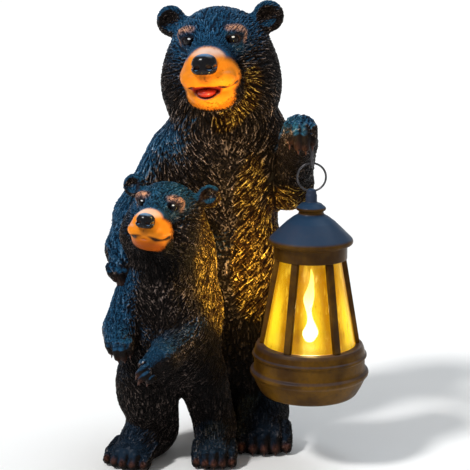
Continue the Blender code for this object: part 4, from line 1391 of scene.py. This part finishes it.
def claw_place(tip, ahead, size):
    """The turn, size and place of a claw whose root is at a toe's tip, in metres."""
    ahead = Vector(unit_row(ahead))
    back = Vector((0, 0, 1)) - ahead * ahead.z
    if back.length < 0.2:
        back = Vector((0, -1, 0)) + ahead * ahead.y
    back.normalize()
    turn = Matrix((back, ahead.cross(back), ahead)).transposed().to_4x4()
    place = Matrix.Translation(Vector(np.array(tip) * UNIT + SHIFT)) @ turn
    return place @ Matrix.Diagonal((size * UNIT, size * UNIT, size * UNIT, 1))


class BEARSTATUE_OT_claws(bpy.types.Operator):
    """Adds the claws, modelled once and copied"""

    bl_idname = "bearstatue.claws"
    bl_label = "Claws"

    def execute(self, context):
        look = context.scene.bear_fur
        finish = gloss_finish("claw_paint", look.claw, (0.07, 0.03, 0.02), 0.35, 0.2)
        form = claw_form()
        for name, carve, size in (("mother", mother, 1.15), ("cub", cub, 1.0)):
            copies = []
            for k, (tip, ahead) in enumerate(carve(Clay())):
                copy = bpy.data.objects.new(f"{name}_claw_{k}", form.data.copy())
                copy.data.transform(claw_place(tip, ahead, size))
                bpy.context.collection.objects.link(copy)
                copies.append(copy)
            settle_piece(join_pieces(copies, f"{name}_claws"), finish, "painted_resin", angle=50)
        bpy.data.objects.remove(form)
        return {"FINISHED"}


# The lantern

# The six bars round the shade
BAR_THICK = 0.0036
BAR_WIDE = 0.0050
# The radius of the lamp in the lantern, for the softness of its shadows
LAMP_RADIUS = 0.006
FLOOR_SIZE = 16


def lantern_outlines(look):
    """Outlines of the base and the cap, each in metres above its own underside."""
    foot, ridge, roof, collar = look.foot_radius, look.ridge_radius, look.roof_radius, look.collar_radius
    base = [
        (0.0010, 0.10), (foot * 0.86, 0.10), (foot * 0.90, 0.0), (foot, 0.0), (foot * 1.05, 0.04),
        (foot * 1.13, 0.17), (ridge * 0.925, 0.28), (ridge * 0.955, 0.36), (ridge * 0.990, 0.405),
        (ridge, 0.43), (ridge, 0.465), (ridge * 0.985, 0.49), (ridge * 0.950, 0.51), (ridge * 0.935, 0.56),
        (ridge * 0.935, 0.75), (ridge * 0.962, 0.77), (ridge * 0.968, 0.79), (ridge * 0.962, 0.815),
        (ridge * 0.935, 0.835), (ridge * 0.920, 0.93), (ridge * 0.890, 1.0), (0.0010, 1.0),
    ]
    cap = [
        (0.0010, 0.16), (collar * 0.90, 0.16), (collar * 0.92, 0.0), (collar, 0.0), (collar, 0.19),
        (roof * 0.975, 0.215), (roof, 0.235), (roof, 0.265), (roof * 0.975, 0.295), (roof * 0.90, 0.34),
        (roof * 0.74, 0.435), (roof * 0.575, 0.53), (roof * 0.42, 0.60), (roof * 0.315, 0.635),
        (roof * 0.290, 0.665), (roof * 0.300, 0.685), (roof * 0.345, 0.700), (roof * 0.352, 0.715),
        (roof * 0.345, 0.735), (roof * 0.24, 0.790), (roof * 0.155, 0.805), (roof * 0.135, 0.82),
        (roof * 0.135, 0.915), (roof * 0.120, 0.925), (roof * 0.112, 0.975), (roof * 0.08, 0.995),
        (0.0010, 1.0),
    ]
    base = [(radius, height * look.base_height) for radius, height in base]
    cap = [(radius, height * look.cap_height) for radius, height in cap]
    return base, cap


def lantern_bar(angle, middle, foot, head):
    """One bar of the lantern, leaning in from its foot to its head, each a radius and a level."""
    start_piece()
    bpy.ops.mesh.primitive_cube_add(size=1, location=(0, 0, 0))
    bar = bpy.context.active_object
    tall = head[1] - foot[1]
    edit_all()
    bpy.ops.transform.resize(value=(BAR_THICK, BAR_WIDE, tall + 0.001), center_override=(0, 0, 0))
    bpy.ops.mesh.bevel(offset=0.0006, segments=2, affect="EDGES")
    bpy.ops.object.mode_set(mode="OBJECT")
    lean = math.atan2(foot[0] - head[0], tall)
    out = (foot[0] + head[0]) / 2 - BAR_THICK / 2
    place = Matrix.Translation((*middle, (foot[1] + head[1]) / 2)) @ Matrix.Rotation(angle, 4, "Z")
    bar.data.transform(place @ Matrix.Translation((out, 0, 0)) @ Matrix.Rotation(-lean, 4, "Y"))
    return bar


class BEARSTATUE_OT_lantern_body(bpy.types.Operator):
    """Turns the lantern's base and cap and sets its bars"""

    bl_idname = "bearstatue.lantern_body"
    bl_label = "Lantern Body"

    def execute(self, context):
        look = context.scene.bear_lantern
        finish = plastic_finish(look)
        x, y = lantern_middle()
        foot_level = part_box("lantern_frame")[0][2]
        under_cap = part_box("lantern_cap")[0][2]
        base, cap = lantern_outlines(look)
        drum = turned_form("lantern_drum", rounded(base, 0.0005), (x, y, foot_level), look.turn_steps)
        top = turned_form("lantern_roof", rounded(cap, 0.0006), (x, y, under_cap), look.turn_steps)
        foot = (look.ridge_radius * 0.845, foot_level + look.base_height)
        head = (look.collar_radius * 0.97, under_cap)
        angles = [math.radians(60 * (k + 0.5) - 90) for k in range(6)]
        bars = join_pieces([lantern_bar(angle, (x, y), foot, head) for angle in angles], "lantern_bars")
        settle_piece(drum, finish, "dark_plastic", ("lantern_frame",), angle=35)
        settle_piece(bars, finish, "dark_plastic", ("lantern_frame",), angle=35)
        settle_piece(top, finish, "dark_plastic", ("lantern_cap",), angle=35)
        return {"FINISHED"}


class BEARSTATUE_OT_lantern_light(bpy.types.Operator):
    """Makes the lit shade and the flame inside it"""

    bl_idname = "bearstatue.lantern_light"
    bl_label = "Lantern Light"

    def execute(self, context):
        look = context.scene.bear_lantern
        x, y = lantern_middle()
        low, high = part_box("lantern_glass")
        tall = high[2] - low[2]
        wall = 0.0010
        base_radius, top_radius = look.ridge_radius * 0.775, look.collar_radius * 0.97 - BAR_THICK
        half_way = base_radius - (base_radius - top_radius) * 0.5
        outline = [
            (base_radius - wall, 0.0), (base_radius, 0.0), (half_way, tall * 0.5),
            (top_radius, tall), (top_radius - wall, tall), (half_way - wall, tall * 0.5),
        ]
        shade = turned_form("lantern_shade", outline, (x, y, low[2]), look.turn_steps, ring=True)
        settle_piece(shade, shade_finish(look), "clear_shade", ("lantern_glass",), angle=35)
        low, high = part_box("lantern_light")
        tall = high[2] - low[2]
        flame = [
            (0.0005, 0.0), (0.0024, 0.005), (0.0042, 0.05), (0.0056, 0.11), (0.0054, 0.15), (0.0036, 0.22),
            (0.0021, 0.30), (0.0017, 0.38), (0.0022, 0.47), (0.0034, 0.55), (0.0038, 0.61), (0.0030, 0.69),
            (0.0018, 0.79), (0.0011, 0.90), (0.0003, 1.0),
        ]
        flame = [(radius, height * tall) for radius, height in flame]
        core = turned_form("lantern_flame", rounded(flame, 0.002), (x, y, low[2]), 32)
        for vertex in core.data.vertices:
            share = (vertex.co.z - low[2]) / tall
            vertex.co.x += 0.0011 * math.sin(share * 9.0) * min(1.0, share * 4.0)
        settle_piece(core, flame_finish(look), "light", ("lantern_light",), angle=60)
        return {"FINISHED"}


def swept_wire(name, points, radius):
    """A round wire along a smooth path, made a mesh."""
    start_piece()
    bpy.ops.curve.primitive_nurbs_path_add(location=(0, 0, 0))
    piece = bpy.context.active_object
    piece.name = name
    curve = piece.data
    curve.splines.clear()
    spline = curve.splines.new("POLY")
    spline.points.add(len(points) - 1)
    for point, place in zip(spline.points, points):
        point.co = (*place, 1.0)
    curve.bevel_depth = radius
    curve.bevel_resolution = 4
    curve.use_fill_caps = True
    curve.dimensions = "3D"
    chosen(piece)
    bpy.ops.object.convert(target="MESH")
    piece = bpy.context.active_object
    piece.name = name
    return piece


class BEARSTATUE_OT_hanger(bpy.types.Operator):
    """Bends the wire handle and the hook in the mother's paw"""

    bl_idname = "bearstatue.hanger"
    bl_label = "Handle And Hook"

    def execute(self, context):
        finish = wire_finish()
        low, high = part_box("lantern_handle")
        x, _ = lantern_middle()
        radius = 0.0007
        wide, tall = (high[0] - low[0]) / 2 - radius, (high[2] - low[2]) / 2 - radius
        deep, middle = (low[1] + high[1]) / 2, (low[2] + high[2]) / 2
        points = []
        for k in range(73):
            angle = 2 * math.pi * (k / 72) - math.pi / 2
            points.append((x + wide * math.cos(angle), deep, middle + tall * math.sin(angle)))
        bail = swept_wire("lantern_bail", points, radius)
        settle_piece(bail, finish, "dark_wire", ("lantern_handle",), angle=60)
        low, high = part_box("paw_hook")
        middle_x = (low[0] + high[0]) / 2
        thick = (high[0] - low[0]) / 2
        near, far = low[1] + thick, high[1] - thick
        points = [(middle_x, far, high[2] - 0.001)]
        bend = (far - near) / 2
        for k in range(25):
            angle = math.pi * k / 24
            lift = low[2] + thick + bend - bend * math.sin(angle)
            points.append((middle_x, (near + far) / 2 + bend * math.cos(angle), lift))
        points.append((middle_x, near, low[2] + thick + bend + 0.0022))
        settle_piece(swept_wire("paw_hook_wire", points, thick), finish, "dark_wire", ("paw_hook",), angle=60)
        return {"FINISHED"}


class BEARSTATUE_OT_stage(bpy.types.Operator):
    """Sets the floor, the soft lights, the lantern's own light and the camera"""

    bl_idname = "bearstatue.stage"
    bl_label = "Stage"

    def execute(self, context):
        look = context.scene.bear_stage
        scene = context.scene
        scene.view_settings.view_transform = "Standard"
        start_piece()
        bpy.ops.mesh.primitive_plane_add(size=FLOOR_SIZE, location=(0, 0, -0.0004))
        floor = new_form("studio_floor")
        bpy.ops.object.mode_set(mode="EDIT")
        bpy.ops.mesh.select_mode(type="VERT")
        bpy.ops.mesh.select_all(action="DESELECT")
        bpy.ops.object.mode_set(mode="OBJECT")
        for vertex in floor.data.vertices:
            vertex.select = vertex.co.y > FLOOR_SIZE / 2 - 0.1
        bpy.ops.object.mode_set(mode="EDIT")
        for step in range(8):
            angle = math.radians(90 * (step + 0.5) / 8)
            move = (0, 0.35 * math.cos(angle), 0.35 * math.sin(angle))
            bpy.ops.mesh.extrude_region_move(TRANSFORM_OT_translate={"value": move})
        bpy.ops.mesh.extrude_region_move(TRANSFORM_OT_translate={"value": (0, 0, 5)})
        bpy.ops.object.mode_set(mode="OBJECT")
        bpy.ops.object.shade_smooth()
        floor.data.materials.append(floor_finish())
        world = bpy.data.worlds.new("studio_world")
        world.use_nodes = True
        background = world.node_tree.nodes["Background"].inputs
        background["Color"].default_value = (1.0, 1.0, 1.0, 1.0)
        background["Strength"].default_value = 0.32
        scene.world = world
        aim = Vector((SHIFT[0], SHIFT[1], look.camera_height))
        tilt = look.camera_elevation
        spot = aim + look.camera_distance * Vector((0, -math.cos(tilt), math.sin(tilt)))
        bpy.ops.object.camera_add(location=spot, rotation=(aim - spot).to_track_quat("-Z", "Y").to_euler())
        camera = context.active_object
        camera.data.lens = look.lens
        camera.data.sensor_width = 36
        scene.camera = camera
        for name, place, spread, power, colour in (
            ("key", (-0.75, -0.55, 1.1), 9, look.key_power, (1.0, 0.99, 0.97)),
            ("top", (0.35, 0.25, 1.0), 40, look.key_power * 0.45, (0.86, 0.94, 1.0)),
        ):
            place = Vector(place)
            bpy.ops.object.light_add(type="SUN", location=place)
            light = context.active_object
            light.name = name
            light.rotation_euler = (Vector((0, 0, 0)) - place).to_track_quat("-Z", "Y").to_euler()
            light.data.angle, light.data.energy, light.data.color = math.radians(spread), power, colour
        lit = bpy.data.collections.new("lit_by_lantern")
        for name, place, share in (
            ("lantern_glow", (52.4, -60, 112), 1.0),
            ("chest_spill", (15, -62, 190), 0.02),
            ("waist_spill", (17, -66, 142), 0.20),
            ("hip_spill", (18, -66, 112), 0.06),
            ("chin_spill", (6, -96, 240), 0.20),
        ):
            bpy.ops.object.light_add(type="POINT", location=Vector(np.array(place) * UNIT + SHIFT))
            light = context.active_object
            light.name = name
            light.data.energy = look.lamp_power * share
            light.data.shadow_soft_size = LAMP_RADIUS
            light.data.color = (1.0, 0.64, 0.18)
            if name != "lantern_glow":
                light.light_linking.receiver_collection = lit
        start_piece()
        return {"FINISHED"}


class BEARSTATUE_PT_panel(bpy.types.Panel):
    """Lists the statue's pieces in the order they are made"""

    bl_idname = "BEARSTATUE_PT_panel"
    bl_label = "Bear Statue"
    bl_space_type = "VIEW_3D"
    bl_region_type = "UI"
    bl_category = "Bear Statue"

    def draw(self, context):
        layout = self.layout
        for made in STEPS:
            layout.operator(made.bl_idname)
        for look in (context.scene.bear_fur, context.scene.bear_lantern, context.scene.bear_stage):
            box = layout.box()
            for name in look.bl_rna.properties.keys():
                if name not in ("rna_type", "name"):
                    box.prop(look, name)


STEPS = (
    BEARSTATUE_OT_stage,
    BEARSTATUE_OT_mother,
    BEARSTATUE_OT_cub,
    BEARSTATUE_OT_faces,
    BEARSTATUE_OT_claws,
    BEARSTATUE_OT_lantern_body,
    BEARSTATUE_OT_lantern_light,
    BEARSTATUE_OT_hanger,
)
CLASSES = (FurLook, LanternLook, StageLook, *STEPS, BEARSTATUE_PT_panel)


def register():
    for made in CLASSES:
        bpy.utils.register_class(made)
    bpy.types.Scene.bear_fur = PointerProperty(type=FurLook)
    bpy.types.Scene.bear_lantern = PointerProperty(type=LanternLook)
    bpy.types.Scene.bear_stage = PointerProperty(type=StageLook)


def unregister():
    del bpy.types.Scene.bear_fur
    del bpy.types.Scene.bear_lantern
    del bpy.types.Scene.bear_stage
    for made in reversed(CLASSES):
        bpy.utils.unregister_class(made)


def main():
    register()
    bpy.ops.bearstatue.stage()
    bpy.ops.bearstatue.mother()
    bpy.ops.bearstatue.cub()
    bpy.ops.bearstatue.faces()
    bpy.ops.bearstatue.claws()
    bpy.ops.bearstatue.lantern_body()
    bpy.ops.bearstatue.lantern_light()
    bpy.ops.bearstatue.hanger()


if __name__ == "__main__":
    main()
